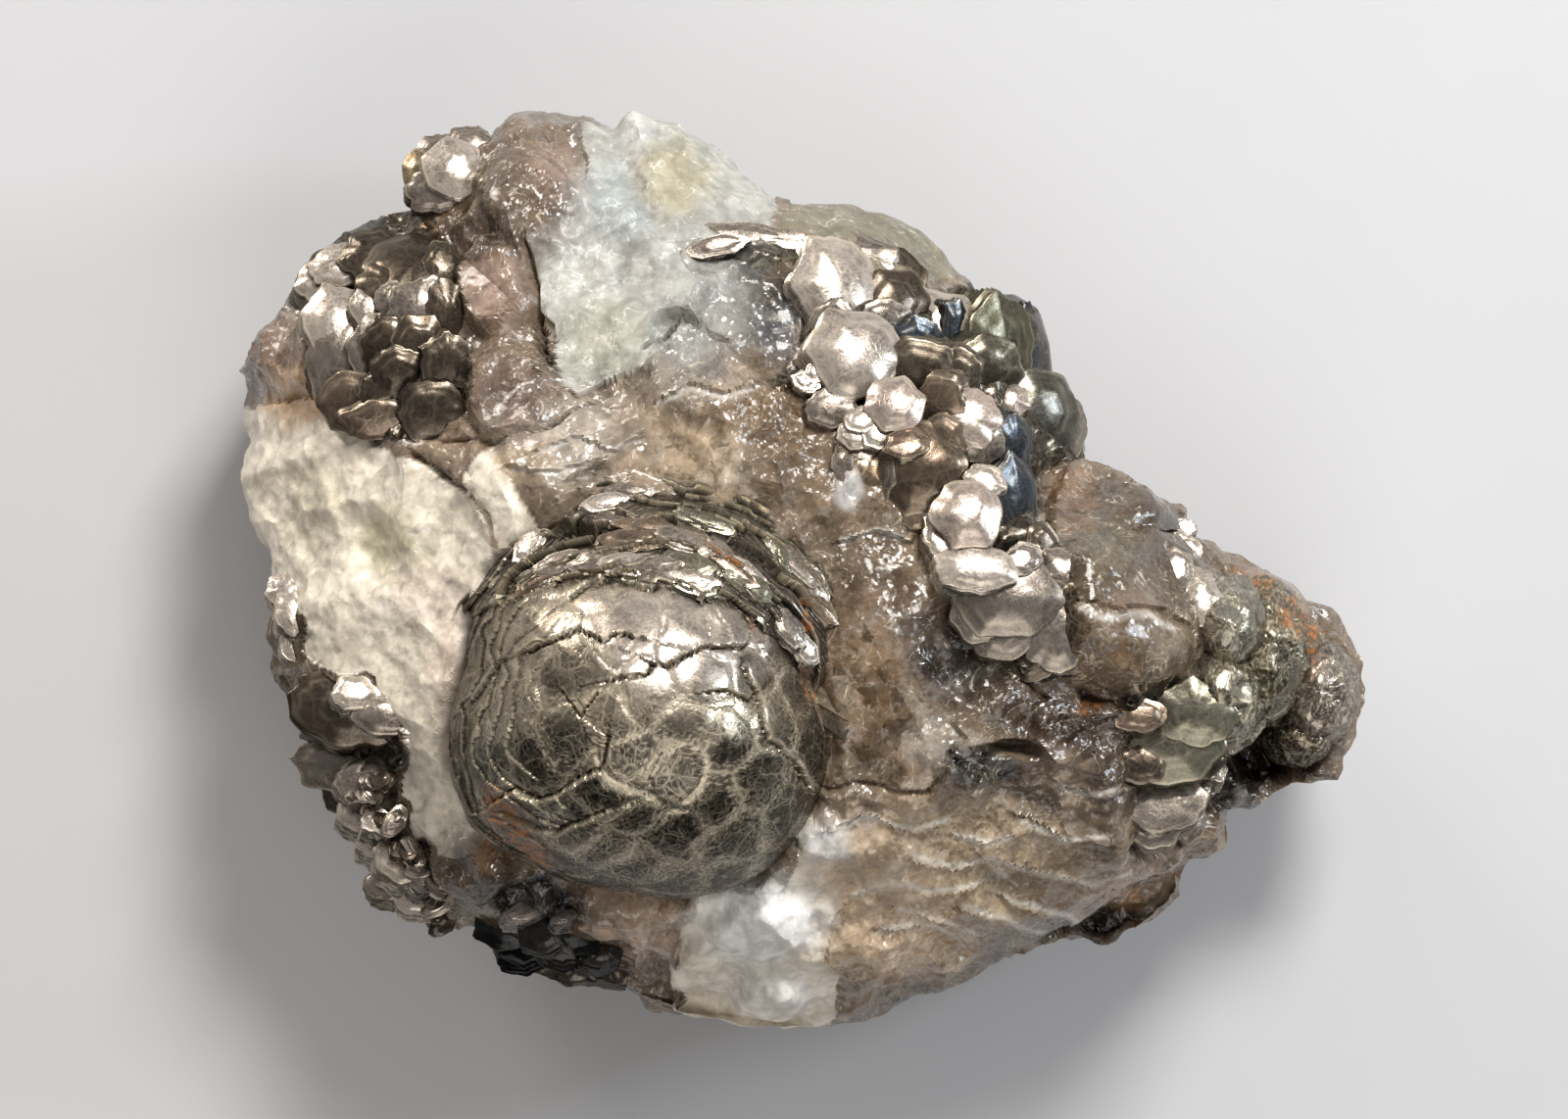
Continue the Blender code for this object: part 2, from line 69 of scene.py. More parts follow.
# The rock's outline seen from above, anticlockwise from the tapering end
OUTLINE = [
    (57.6, -12.0), (57.3, -9.3), (55.5, -7.2), (54.5, -4.9), (51.5, -4.1), (50.1, -2.0),
    (48.1, 0.0), (45.8, 1.3), (42.3, 3.1), (40.5, 3.8), (40.0, 6.3), (37.8, 8.0), (34.3, 9.7),
    (29.4, 11.5), (29.1, 14.3), (27.8, 17.3), (24.9, 19.7), (24.5, 23.3), (23.6, 26.3),
    (21.8, 27.4), (17.5, 27.3), (16.7, 29.1), (14.3, 32.1), (11.8, 34.3), (8.3, 36.1),
    (4.3, 37.4), (0.3, 37.9), (-2.8, 37.9), (-4.7, 40.2), (-7.7, 42.5), (-10.2, 44.4),
    (-12.7, 46.1), (-14.5, 46.2), (-16.2, 46.9), (-17.4, 47.5), (-19.2, 46.0), (-21.7, 46.8),
    (-25.7, 47.1), (-27.2, 46.6), (-29.7, 46.9), (-32.2, 45.2), (-33.9, 45.3), (-36.2, 44.6),
    (-37.7, 42.8), (-39.3, 42.1), (-40.3, 40.1), (-39.9, 37.7), (-42.2, 36.5), (-46.7, 34.7),
    (-48.2, 33.3), (-49.7, 32.2), (-50.0, 29.7), (-51.7, 28.3), (-53.2, 26.7), (-55.5, 25.7),
    (-57.2, 23.8), (-57.6, 21.5), (-57.0, 18.5), (-57.1, 15.8), (-56.8, 13.8), (-57.1, 9.3),
    (-56.7, 5.0), (-55.4, 2.1), (-55.1, -1.9), (-54.1, -6.2), (-54.1, -10.2), (-53.0, -13.9),
    (-51.6, -17.3), (-49.0, -19.9), (-47.1, -23.5), (-45.1, -26.9), (-43.9, -30.2),
    (-42.2, -32.7), (-40.0, -34.9), (-37.7, -37.0), (-32.7, -36.9), (-31.1, -38.5),
    (-29.3, -41.3), (-24.2, -42.5), (-20.7, -42.0), (-17.7, -42.3), (-16.7, -43.9),
    (-15.5, -45.3), (-11.7, -46.5), (-6.7, -46.5), (-1.7, -47.5), (2.1, -47.2), (5.3, -45.9),
    (8.8, -45.1), (11.5, -43.7), (18.3, -41.5), (21.1, -40.1), (24.3, -38.8), (26.5, -39.0),
    (31.3, -38.2), (36.3, -36.7), (39.7, -33.9), (40.9, -31.9), (43.5, -29.7), (44.9, -27.5),
    (44.5, -24.9), (48.3, -21.8), (50.5, -20.7), (55.1, -20.9), (54.9, -18.7), (56.7, -16.7),
]
# Height of the rock's widest line, by degrees round the outline
RIM_HEIGHTS = [(0, 22), (40, 19), (70, 18), (95, 23), (130, 25), (180, 24), (230, 21), (300, 20)]

# Broken faces of the front: a point on each, and its slopes in x and y
FRONT_FACES = [
    ((0, 0, 48.0), (0.03, 0.0)),
    ((-30, -2, 46.0), (0.42, 0.05)),
    ((-27, 18, 45.0), (0.38, -0.38)),
    ((-10, 20, 47.0), (0.0, -0.42)),
    ((19, 14, 48.0), (-0.62, -0.43)),
    ((36, -12, 46.0), (-0.75, -0.05)),
    ((10, -23, 47.0), (0.02, 0.55)),
    ((-33, -26, 41.0), (0.5, 0.6)),
    ((-20, -40, 28.0), (0.9, 3.3)),
    ((28, -36.5, 28.0), (-1.3, 3.0)),
    ((47.5, -16, 26.0), (-2.6, 1.0)),
]

# Where each mineral shows, seen from above, and how far down the side it reaches
MINERALS = {
    "albite_left": (9.0, [
        (-64.0, 16.0), (-51.7, 17.2), (-46.5, 14.0), (-39.9, 12.0), (-32.7, 7.8),
        (-31.7, 12.1), (-26.0, 4.4), (-23.0, 0.0), (-27.0, -8.0), (-32.0, -16.0),
        (-30.5, -27.5), (-39.9, -27.6), (-42.0, -20.4), (-40.6, -17.0), (-42.3, -13.2),
        (-44.2, -11.0), (-49.7, -8.8), (-50.2, -4.0), (-53.0, -1.2), (-64.0, 2.0),
    ]),
    "albite_top": (12.0, [
        (-21.6, 43.3), (-21.0, 54.0), (-3.4, 52.0), (-3.4, 34.4), (-12.4, 34.2),
        (-11.6, 30.0), (-13.5, 23.2), (-22.9, 18.1), (-25.0, 19.0), (-27.5, 27.0),
        (-26.3, 33.5), (-23.6, 37.5),
    ]),
    "albite_ridge": (9.0, [
        (-2.4, 34.4), (-1.5, 46.0), (22.0, 44.0), (22.0, 34.0), (15.8, 28.6), (11.8, 29.8),
        (7.3, 32.4), (1.3, 34.2),
    ]),
    "albite_foot": (10.0, [
        (-9.5, -33.4), (-1.4, -32.9), (-1.2, -27.0), (4.8, -26.0), (5.3, -32.2),
        (3.5, -36.0), (2.1, -56.0), (-10.0, -56.0), (-12.9, -40.0),
    ]),
    "muscovite_ridge": (16.0, [
        (-11.2, 33.4), (-5.7, 33.6), (1.0, 33.2), (7.0, 31.4), (11.4, 28.8), (15.6, 27.4),
        (24.5, 33.0), (34.0, 22.0), (34.0, 12.5), (24.3, 10.3), (23.8, 4.3), (28.0, 0.0),
        (28.4, -8.0), (26.5, -11.2), (22.0, -10.4), (16.8, -5.7), (17.3, -1.7), (11.3, 6.8),
        (6.8, 8.3), (3.3, 14.3), (-3.2, 21.0), (0.6, 24.2), (0.0, 30.6), (-10.4, 31.6),
    ]),
    "muscovite_corner": (16.0, [
        (-54.0, 30.0), (-47.5, 38.5), (-42.8, 37.6), (-38.2, 35.4), (-36.2, 32.8),
        (-36.2, 28.3), (-33.7, 23.3), (-33.7, 18.3), (-36.2, 13.6), (-44.7, 14.0),
        (-47.9, 16.2), (-49.9, 18.3), (-49.5, 23.3),
    ]),
    "muscovite_knob": (14.0, [
        (-42.8, 38.8), (-37.6, 36.6), (-34.7, 38.6), (-33.9, 40.8), (-33.5, 50.0),
        (-45.0, 48.0),
    ]),
    "muscovite_side_flakes": (14.0, [
        (-64.0, 0.9), (-53.4, -2.3), (-51.1, -4.6), (-50.9, -8.6), (-53.0, -9.5),
        (-64.0, -10.0),
    ]),
    "muscovite_side_book": (12.0, [
        (-60.0, -11.6), (-50.2, -9.8), (-44.6, -12.0), (-42.8, -14.0), (-41.2, -17.2),
        (-42.6, -20.3), (-40.8, -27.6), (-37.6, -28.2), (-37.4, -33.5), (-39.0, -42.0),
        (-54.0, -34.0), (-60.0, -22.0),
    ]),
    "muscovite_foot": (8.0, [
        (-33.5, -35.6), (-27.0, -35.2), (-22.0, -36.0), (-17.6, -38.0), (-17.2, -50.0),
        (-33.0, -50.0),
    ]),
    "muscovite_right_plates": (24.0, [
        (33.2, -12.0), (38.5, -10.0), (43.0, -16.0), (43.8, -24.5), (40.5, -28.0),
        (35.0, -27.0), (33.5, -21.0),
    ]),
}


def tint(red, green, blue):
    """A colour given as a screen shows it, 0 to 255, as light."""
    return tuple((value / 255) ** 2.2 for value in (red, green, blue))


def hashed(cell, seed):
    """A fixed random number from 0 to 1 for each whole-number cell."""
    mixed = np.full(cell.shape[:-1], (seed * 2654435761 + 97) % 2**32, np.uint32)
    for axis, prime in zip(range(cell.shape[-1]), (374761393, 668265263, 2147483629)):
        mixed ^= (cell[..., axis].astype(np.int64) * prime).astype(np.uint32)
        mixed ^= mixed >> np.uint32(15)
        mixed *= np.uint32(2246822519)
        mixed ^= mixed >> np.uint32(13)
    return mixed / 2.0**32


def value_noise(points, size, seed):
    """Smooth noise from -1 to 1 with lumps of this size."""
    place = points / size
    cell = np.floor(place)
    part = place - cell
    ease = part * part * (3 - 2 * part)
    total = np.zeros(points.shape[:-1])
    for corner in np.ndindex(*(2,) * points.shape[-1]):
        share = np.prod(np.where(corner, ease, 1 - ease), axis=-1)
        total += share * hashed(cell + corner, seed)
    return total * 2 - 1


def fractal(points, size, seed, octaves=4):
    """Noise with ever finer lumps, each half as high as the last."""
    total = np.zeros(points.shape[:-1])
    for octave in range(octaves):
        total += value_noise(points, size / 2**octave, seed + octave) / 2**octave
    return total / 1.6


def facets(points, size, slope, hollow, seed):
    """Broken faces of this size: each tilted its own way and a little hollow, with sharp ridges."""
    home = np.floor(points / size)
    lowest = np.full(points.shape[:-1], 1e9)
    axes = range(points.shape[-1])
    for offset in np.ndindex(*(3,) * points.shape[-1]):
        cell = home + np.array(offset) - 1
        centre = (cell + np.stack([hashed(cell, seed + axis) for axis in axes], axis=-1)) * size
        tilt = np.stack([hashed(cell, seed + 10 + axis) for axis in axes], axis=-1) * 2 - 1
        way = points - centre
        rise = slope * np.sum(tilt * way, axis=-1) + hollow * np.sum(way**2, axis=-1) / size
        lowest = np.minimum(lowest, rise)
    return lowest - lowest.mean()


def smooth(low, high, value):
    """0 below low, 1 above high, and a smooth turn between them."""
    share = np.clip((value - low) / (high - low), 0, 1)
    return share * share * (3 - 2 * share)


def oval(points, x, y, wide, deep, turn=0.0):
    """0 at the middle of an oval patch and 1 on its edge."""
    cos, sin = math.cos(math.radians(turn)), math.sin(math.radians(turn))
    across, along = points[..., 0] - x, points[..., 1] - y
    return np.hypot((across * cos + along * sin) / wide, (along * cos - across * sin) / deep)


def line_gap(points, line):
    """Distance to a line of points, and which side of it each point lies on."""
    least = np.full(points.shape[:-1], 1e9)
    side = np.zeros(points.shape[:-1])
    for start, end in zip(np.array(line[:-1]), np.array(line[1:])):
        run = end - start
        way = points[..., :2] - start
        share = np.clip(way @ run / (run @ run), 0, 1)
        gap = np.linalg.norm(way - share[..., None] * run, axis=-1)
        turned = np.sign(run[0] * way[..., 1] - run[1] * way[..., 0])
        closer = gap < least
        side = np.where(closer, turned, side)
        least = np.minimum(least, gap)
    return least, side


def inside(points, outline):
    """True for points inside the outline, seen from above."""
    x, y = points[..., 0], points[..., 1]
    found = np.zeros(points.shape[:-1], bool)
    for (x0, y0), (x1, y1) in zip(outline, outline[1:] + outline[:1]):
        if y0 == y1:
            continue
        spans = (y0 > y) != (y1 > y)
        found ^= spans & (x < (x1 - x0) * (y - y0) / (y1 - y0) + x0)
    return found


def reach_table():
    """How far the outline is from the middle, by direction."""
    turns = np.linspace(-math.pi, math.pi, 2881)
    starts = np.array(OUTLINE)
    edges = np.roll(starts, -1, axis=0) - starts
    way = np.stack([np.cos(turns), np.sin(turns)], axis=-1)[:, None]
    crossing = way[..., 0] * edges[:, 1] - way[..., 1] * edges[:, 0]
    crossing = np.where(np.abs(crossing) < 1e-9, 1e-9, crossing)
    reach = (starts[:, 0] * edges[:, 1] - starts[:, 1] * edges[:, 0]) / crossing
    along = (starts[:, 0] * way[..., 1] - starts[:, 1] * way[..., 0]) / crossing
    hit = (along >= -1e-9) & (along <= 1 + 1e-9) & (reach > 0)
    return turns, np.where(hit, reach, 0).max(axis=1)


REACH = reach_table()


def outline_reach(angle):
    """How far the rock's outline is from its middle in each direction."""
    return np.interp(angle, *REACH, period=2 * math.pi)


def by_direction(table, angle):
    """The value in each direction, from a table of degrees and values."""
    turns, values = zip(*table)
    return np.interp(np.degrees(angle) % 360, turns, values, period=360)


def front_height(points):
    """Height of the rock's front face over the floor."""
    x, y = points[..., 0], points[..., 1]
    angle = np.arctan2(y, x)
    share = np.minimum(np.hypot(x, y) / outline_reach(angle), 1.0)
    planes = np.stack([
        z0 + slope_x * (x - x0) + slope_y * (y - y0)
        for (x0, y0, z0), (slope_x, slope_y) in FRONT_FACES
    ])
    lowest = planes.min(axis=0)
    spread = np.exp((lowest - planes) / FACE_BLEND).sum(axis=0)
    rim = by_direction(RIM_HEIGHTS, angle)
    face = np.maximum(lowest - FACE_BLEND * np.log(spread), rim + LEAST_CROWN)
    return rim + (face - rim) * np.sqrt(np.maximum(1 - share**FRONT_EDGE_POWER, 0))


def disc_place(u, v):
    """Maps a square of side 2 onto a disc: the direction, and the share of the way to the edge."""
    share = np.maximum(np.abs(u), np.abs(v))
    flat = np.abs(u) >= np.abs(v)
    with np.errstate(divide="ignore", invalid="ignore"):
        angle = np.where(flat, math.pi / 4 * v / u, math.pi / 2 - math.pi / 4 * u / v)
    angle = np.nan_to_num(angle) + np.where(np.where(flat, u, v) < 0, math.pi, 0.0)
    return angle, share


def grid_faces(rows, columns):
    """Triangles of a grid of points."""
    index = np.arange(rows * columns).reshape(rows, columns)
    a, b = index[:-1, :-1].ravel(), index[:-1, 1:].ravel()
    c, d = index[1:, 1:].ravel(), index[1:, :-1].ravel()
    even = (np.add.outer(np.arange(rows - 1), np.arange(columns - 1)) % 2 == 0).ravel()[:, None]
    first = np.where(even, np.stack([a, b, c], 1), np.stack([a, b, d], 1))
    second = np.where(even, np.stack([a, c, d], 1), np.stack([b, c, d], 1))
    return np.concatenate([first, second])


def grid_loop(rows, columns):
    """The points round the edge of a grid, in order."""
    index = np.arange(rows * columns).reshape(rows, columns)
    return np.concatenate([index[0, :-1], index[:-1, -1], index[-1, :0:-1], index[:0:-1, 0]])


def ring_faces(outer, inner):
    """Triangles between two loops, the second with as many points as the first or half."""
    if len(outer) == len(inner):
        a, b = outer, np.roll(outer, -1)
        c, d = np.roll(inner, -1), inner
        return np.concatenate([np.stack([a, d, c], 1), np.stack([a, c, b], 1)])
    a, b, c = outer[::2], outer[1::2], np.roll(outer[::2], -1)
    d, e = inner, np.roll(inner, -1)
    return np.concatenate([np.stack([a, d, b], 1), np.stack([b, d, e], 1), np.stack([b, e, c], 1)])


def normals(points, faces):
    """The direction that the surface faces at each point."""
    corners = points[faces]
    facing = np.cross(corners[:, 1] - corners[:, 0], corners[:, 2] - corners[:, 0])
    total = np.stack([
        sum(np.bincount(faces[:, k], facing[:, axis], len(points)) for k in range(3))
        for axis in range(3)
    ], axis=-1)
    return total / np.maximum(np.linalg.norm(total, axis=-1, keepdims=True), 1e-12)


def rock_skin():
    """The whole rock: a grid over the front, rings down the sides, and a flat back."""
    line = np.linspace(-1, 1, FRONT_GRID)
    u, v = np.meshgrid(line, line)
    angle, share = disc_place(u.ravel(), v.ravel())
    share = share * (1 + EDGE_DENSITY - EDGE_DENSITY * share**2)
    reach = outline_reach(angle) * share
    flat = np.stack([reach * np.cos(angle), reach * np.sin(angle)], axis=-1)
    layers = [np.concatenate([flat, front_height(flat)[:, None]], axis=1)]
    faces = [grid_faces(FRONT_GRID, FRONT_GRID)]
    loop = grid_loop(FRONT_GRID, FRONT_GRID)
    turns = angle[loop]
    count = FRONT_GRID**2
    total = FULL_RINGS + HALF_RINGS
    for ring in range(1, total + BASE_RINGS + 1):
        if ring in (FULL_RINGS + 1, total + 1):
            turns, fresh = turns[::2], len(turns) // 2
        else:
            fresh = len(turns)
        turn = min(ring / total, 1.0) * math.pi / 2
        inward = BASE_SHARE + (1 - BASE_SHARE) * max(math.cos(turn), 0.0) ** UNDERSIDE_POWER
        inward *= 1 - max(ring - total, 0) / (BASE_RINGS + 1)
        reach = outline_reach(turns) * inward
        height = by_direction(RIM_HEIGHTS, turns) * (1 - math.sin(turn))
        layers.append(np.stack([reach * np.cos(turns), reach * np.sin(turns), height], axis=-1))
        fresh_loop = np.arange(count, count + fresh)
        faces.append(ring_faces(loop, fresh_loop))
        loop, count = fresh_loop, count + fresh
    layers.append(np.zeros((1, 3)))
    faces.append(np.stack([loop, np.full(len(loop), count), np.roll(loop, -1)], axis=1))
    return np.concatenate(layers), np.concatenate(faces)


# Hollows and lumps of the rock's front: x, y, half sizes, turn, rise, and how soft the edge is
FORMS = [
    (33.5, -2.0, 9.0, 11.0, 10, 2.2, 0.5),
    (34.5, 7.5, 5.0, 3.6, -30, 0.8, 0.5),
    (-31.4, 28.8, 3.6, 4.8, 5, 2.4, 0.3),
    (-29.7, 17.9, 4.2, 5.0, -10, 1.8, 0.3),
    (-36.0, 38.0, 3.6, 3.6, 0, -1.0, 0.6),
    (-27.5, 37.0, 5.0, 6.5, 20, 1.4, 0.5),
    (-52.5, 22.5, 4.5, 5.5, 20, 1.0, 0.5),
    (-44.0, 2.5, 3.6, 5.6, 30, -1.4, 0.8),
    (-36.5, 7.5, 3.4, 3.0, 0, -0.6, 0.8),
    (-31.0, 7.0, 2.6, 6.2, 20, 1.5, 0.4),
    (-5.0, 26.5, 5.6, 4.8, -10, -1.6, 0.3),
    (-11.6, 23.6, 4.6, 2.6, -35, -1.8, 0.4),
    (-6.0, 15.5, 9.0, 6.5, -20, 0.9, 0.5),
    (-25.0, 13.5, 6.5, 5.5, 20, 0.7, 0.5),
    (9.5, -5.5, 7.5, 9.5, 20, 1.2, 0.6),
    (16.5, -8.5, 3.6, 6.0, 30, -1.4, 0.5),
    (21.5, -18.0, 3.6, 1.1, -12, -3.4, 0.8),
    (16.8, -20.8, 3.6, 1.7, -25, 1.2, 0.4),
    (17.6, -16.0, 2.6, 1.2, -20, 1.1, 0.4),
    (16.8, -17.7, 1.3, 0.9, 30, 1.6, 0.4),
    (26.5, -16.5, 4.0, 3.0, -40, 1.2, 0.5),
    (24.3, -24.6, 3.4, 1.8, -40, -0.5, 0.5),
    (2.0, -27.2, 3.4, 2.6, 0, 1.0, 0.6),
    (10.0, -30.0, 9.0, 4.0, -20, 1.0, 0.8),
    (-5.9, -31.2, 2.6, 1.2, 0, -3.0, 0.8),
    (-4.5, -36.5, 6.0, 3.6, 10, 2.2, 0.5),
    (-10.6, -40.6, 2.9, 2.4, 10, 1.6, 0.5),
    (-3.2, -43.8, 4.2, 2.2, -5, 1.6, 0.5),
    (-19.5, -36.5, 5.2, 4.4, -30, 1.2, 0.5),
    (-33.0, -29.5, 4.4, 3.6, 10, 1.4, 0.4),
    (-8.0, -46.0, 9.0, 2.4, 0, -1.4, 0.6),
    (30.0, -37.2, 6.5, 2.2, 8, -3.0, 0.7),
    (37.4, -21.4, 3.8, 0.6, 0, -2.2, 0.9),
    (35.0, -28.3, 2.2, 1.2, -10, -3.0, 0.8),
    (49.0, -18.6, 5.4, 4.2, 15, -4.6, 0.8),
    (42.5, -28.5, 2.4, 2.4, 0, 0.8, 0.6),
    (29.5, -13.3, 3.0, 1.0, -25, -1.2, 0.8),
    (-22.0, 9.8, 3.2, 0.9, 25, -1.2, 0.8),
]
# Large smooth broken faces of the quartz: x, y, half sizes, turn
CALM_FACES = [
    (9.5, -9.0, 8.5, 11.0, 10), (33.0, -1.5, 8.5, 10.0, 10), (28.0, 7.0, 4.0, 3.4, 0),
    (-4.5, 27.0, 5.5, 4.6, -10), (-31.4, 28.8, 3.4, 4.4, 5), (-29.7, 17.9, 4.0, 4.8, -10),
    (19.0, -31.0, 15.0, 8.0, -12), (7.0, -29.0, 6.0, 5.0, 0), (-15.0, 13.0, 6.0, 4.0, 0),
    (-11.6, 23.6, 4.2, 2.2, -35), (-24.0, 13.0, 6.0, 4.0, 10),
]
# Where the quartz is rippled
RIPPLES = (18.0, -31.0, 17.0, 9.0, -12)
# Open cracks and seams of the rock: depth, width, then the points
SEAMS = [
    (1.4, 0.32, [(-39.1, 11.9), (-36.3, 9.7), (-33.4, 7.9), (-32.0, 5.8), (-31.3, 2.9)]),
    (1.8, 0.30, [(-27.6, 33.4), (-27.0, 29.0), (-27.4, 25.2), (-26.2, 21.6)]),
    (1.0, 0.25, [(-16.0, 22.8), (-12.0, 26.4), (-7.6, 24.0)]),
    (1.2, 0.30, [(0.9, 31.4), (0.6, 26.0), (0.3, 21.4)]),
    (0.9, 0.25, [(16.8, -4.0), (19.3, -7.9), (21.7, -10.4), (24.5, -13.0)]),
    (1.2, 0.28, [(29.1, -13.5), (32.2, -13.5), (34.7, -14.7), (36.5, -14.7), (40.6, -12.2)]),
    (0.7, 0.22, [(15.9, -17.7), (13.8, -20.6), (12.8, -22.0)]),
    (1.4, 0.30, [(27.0, 11.5), (26.0, 6.0), (25.2, 2.6)]),
    (0.8, 0.25, [(-36.3, 13.2), (-31.0, 13.0), (-25.4, 14.6), (-22.0, 17.4)]),
    (0.9, 0.25, [(2.5, -23.0), (5.6, -22.0), (9.6, -22.4), (13.0, -21.8)]),
]
# Healed fractures of the quartz, white and slightly raised
VEINS = [
    [(15.6, -26.9), (18.6, -27.6), (21.7, -27.2)],
    [(18.7, -29.4), (20.0, -30.6), (21.1, -31.2)],
    [(16.8, -34.3), (20.6, -35.6), (24.8, -37.3)],
    [(16.8, -4.0), (19.3, -7.9), (21.7, -10.4)],
    [(5.5, -33.0), (9.0, -31.6), (13.4, -32.8), (18.0, -32.0)],
    [(8.0, -36.8), (12.6, -36.0), (17.0, -38.6)],
    [(22.5, -25.4), (27.0, -27.6), (31.0, -27.0)],
    [(24.0, -30.8), (29.6, -32.4), (34.0, -31.0)],
    [(-26.6, 12.0), (-23.0, 13.6), (-19.2, 12.2), (-16.4, 14.0)],
    [(-29.0, 10.4), (-25.0, 10.0), (-21.0, 11.2)],
    [(3.4, -26.0), (7.0, -25.0), (11.5, -26.4), (15.0, -25.2)],
    [(12.0, -29.0), (15.4, -30.2), (19.6, -29.4), (23.0, -30.6)],
    [(10.0, -34.6), (14.6, -35.8), (18.0, -37.6)],
    [(26.0, -21.6), (29.4, -23.0), (32.0, -22.4)],
    [(21.0, -33.4), (25.0, -34.8), (28.6, -36.0)],
    [(-14.6, 17.2), (-11.2, 18.6), (-8.0, 17.6), (-4.4, 19.0)],
    [(4.2, 3.0), (7.4, 4.2), (10.6, 3.2)],
    [(28.0, -3.6), (31.0, -5.0), (35.4, -4.4), (38.0, -6.0)],
]

QUARTZ_TONE = tint(114, 99, 83)
ALBITE_TONE = tint(216, 206, 188)
# The top albite's own cooler white, partly painted shade: set darker because the key light falls
# full on it
TOP_ALBITE_TONE = tint(160, 158, 150)
RIDGE_ALBITE_TONE = tint(116, 110, 92)
MICA_TONE = tint(180, 167, 147)
BED_TONE = tint(70, 64, 56)
# By mineral number, the last for the bed under every mica cluster
MINERAL_TONES = (QUARTZ_TONE, ALBITE_TONE, TOP_ALBITE_TONE, RIDGE_ALBITE_TONE, ALBITE_TONE, BED_TONE)
BROWN = tint(108, 88, 68)
DARK_BROWN = tint(58, 45, 36)
GREY_BROWN = tint(84, 74, 66)
DARK_GREY = tint(62, 58, 54)
PALE_GREY = tint(160, 150, 138)
PINKISH = tint(142, 118, 104)
BEIGE = tint(168, 148, 120)
MILKY = tint(206, 204, 202)
ORANGE = tint(128, 98, 66)
OLIVE = tint(112, 104, 78)
BLUE_GREY = tint(84, 90, 98)
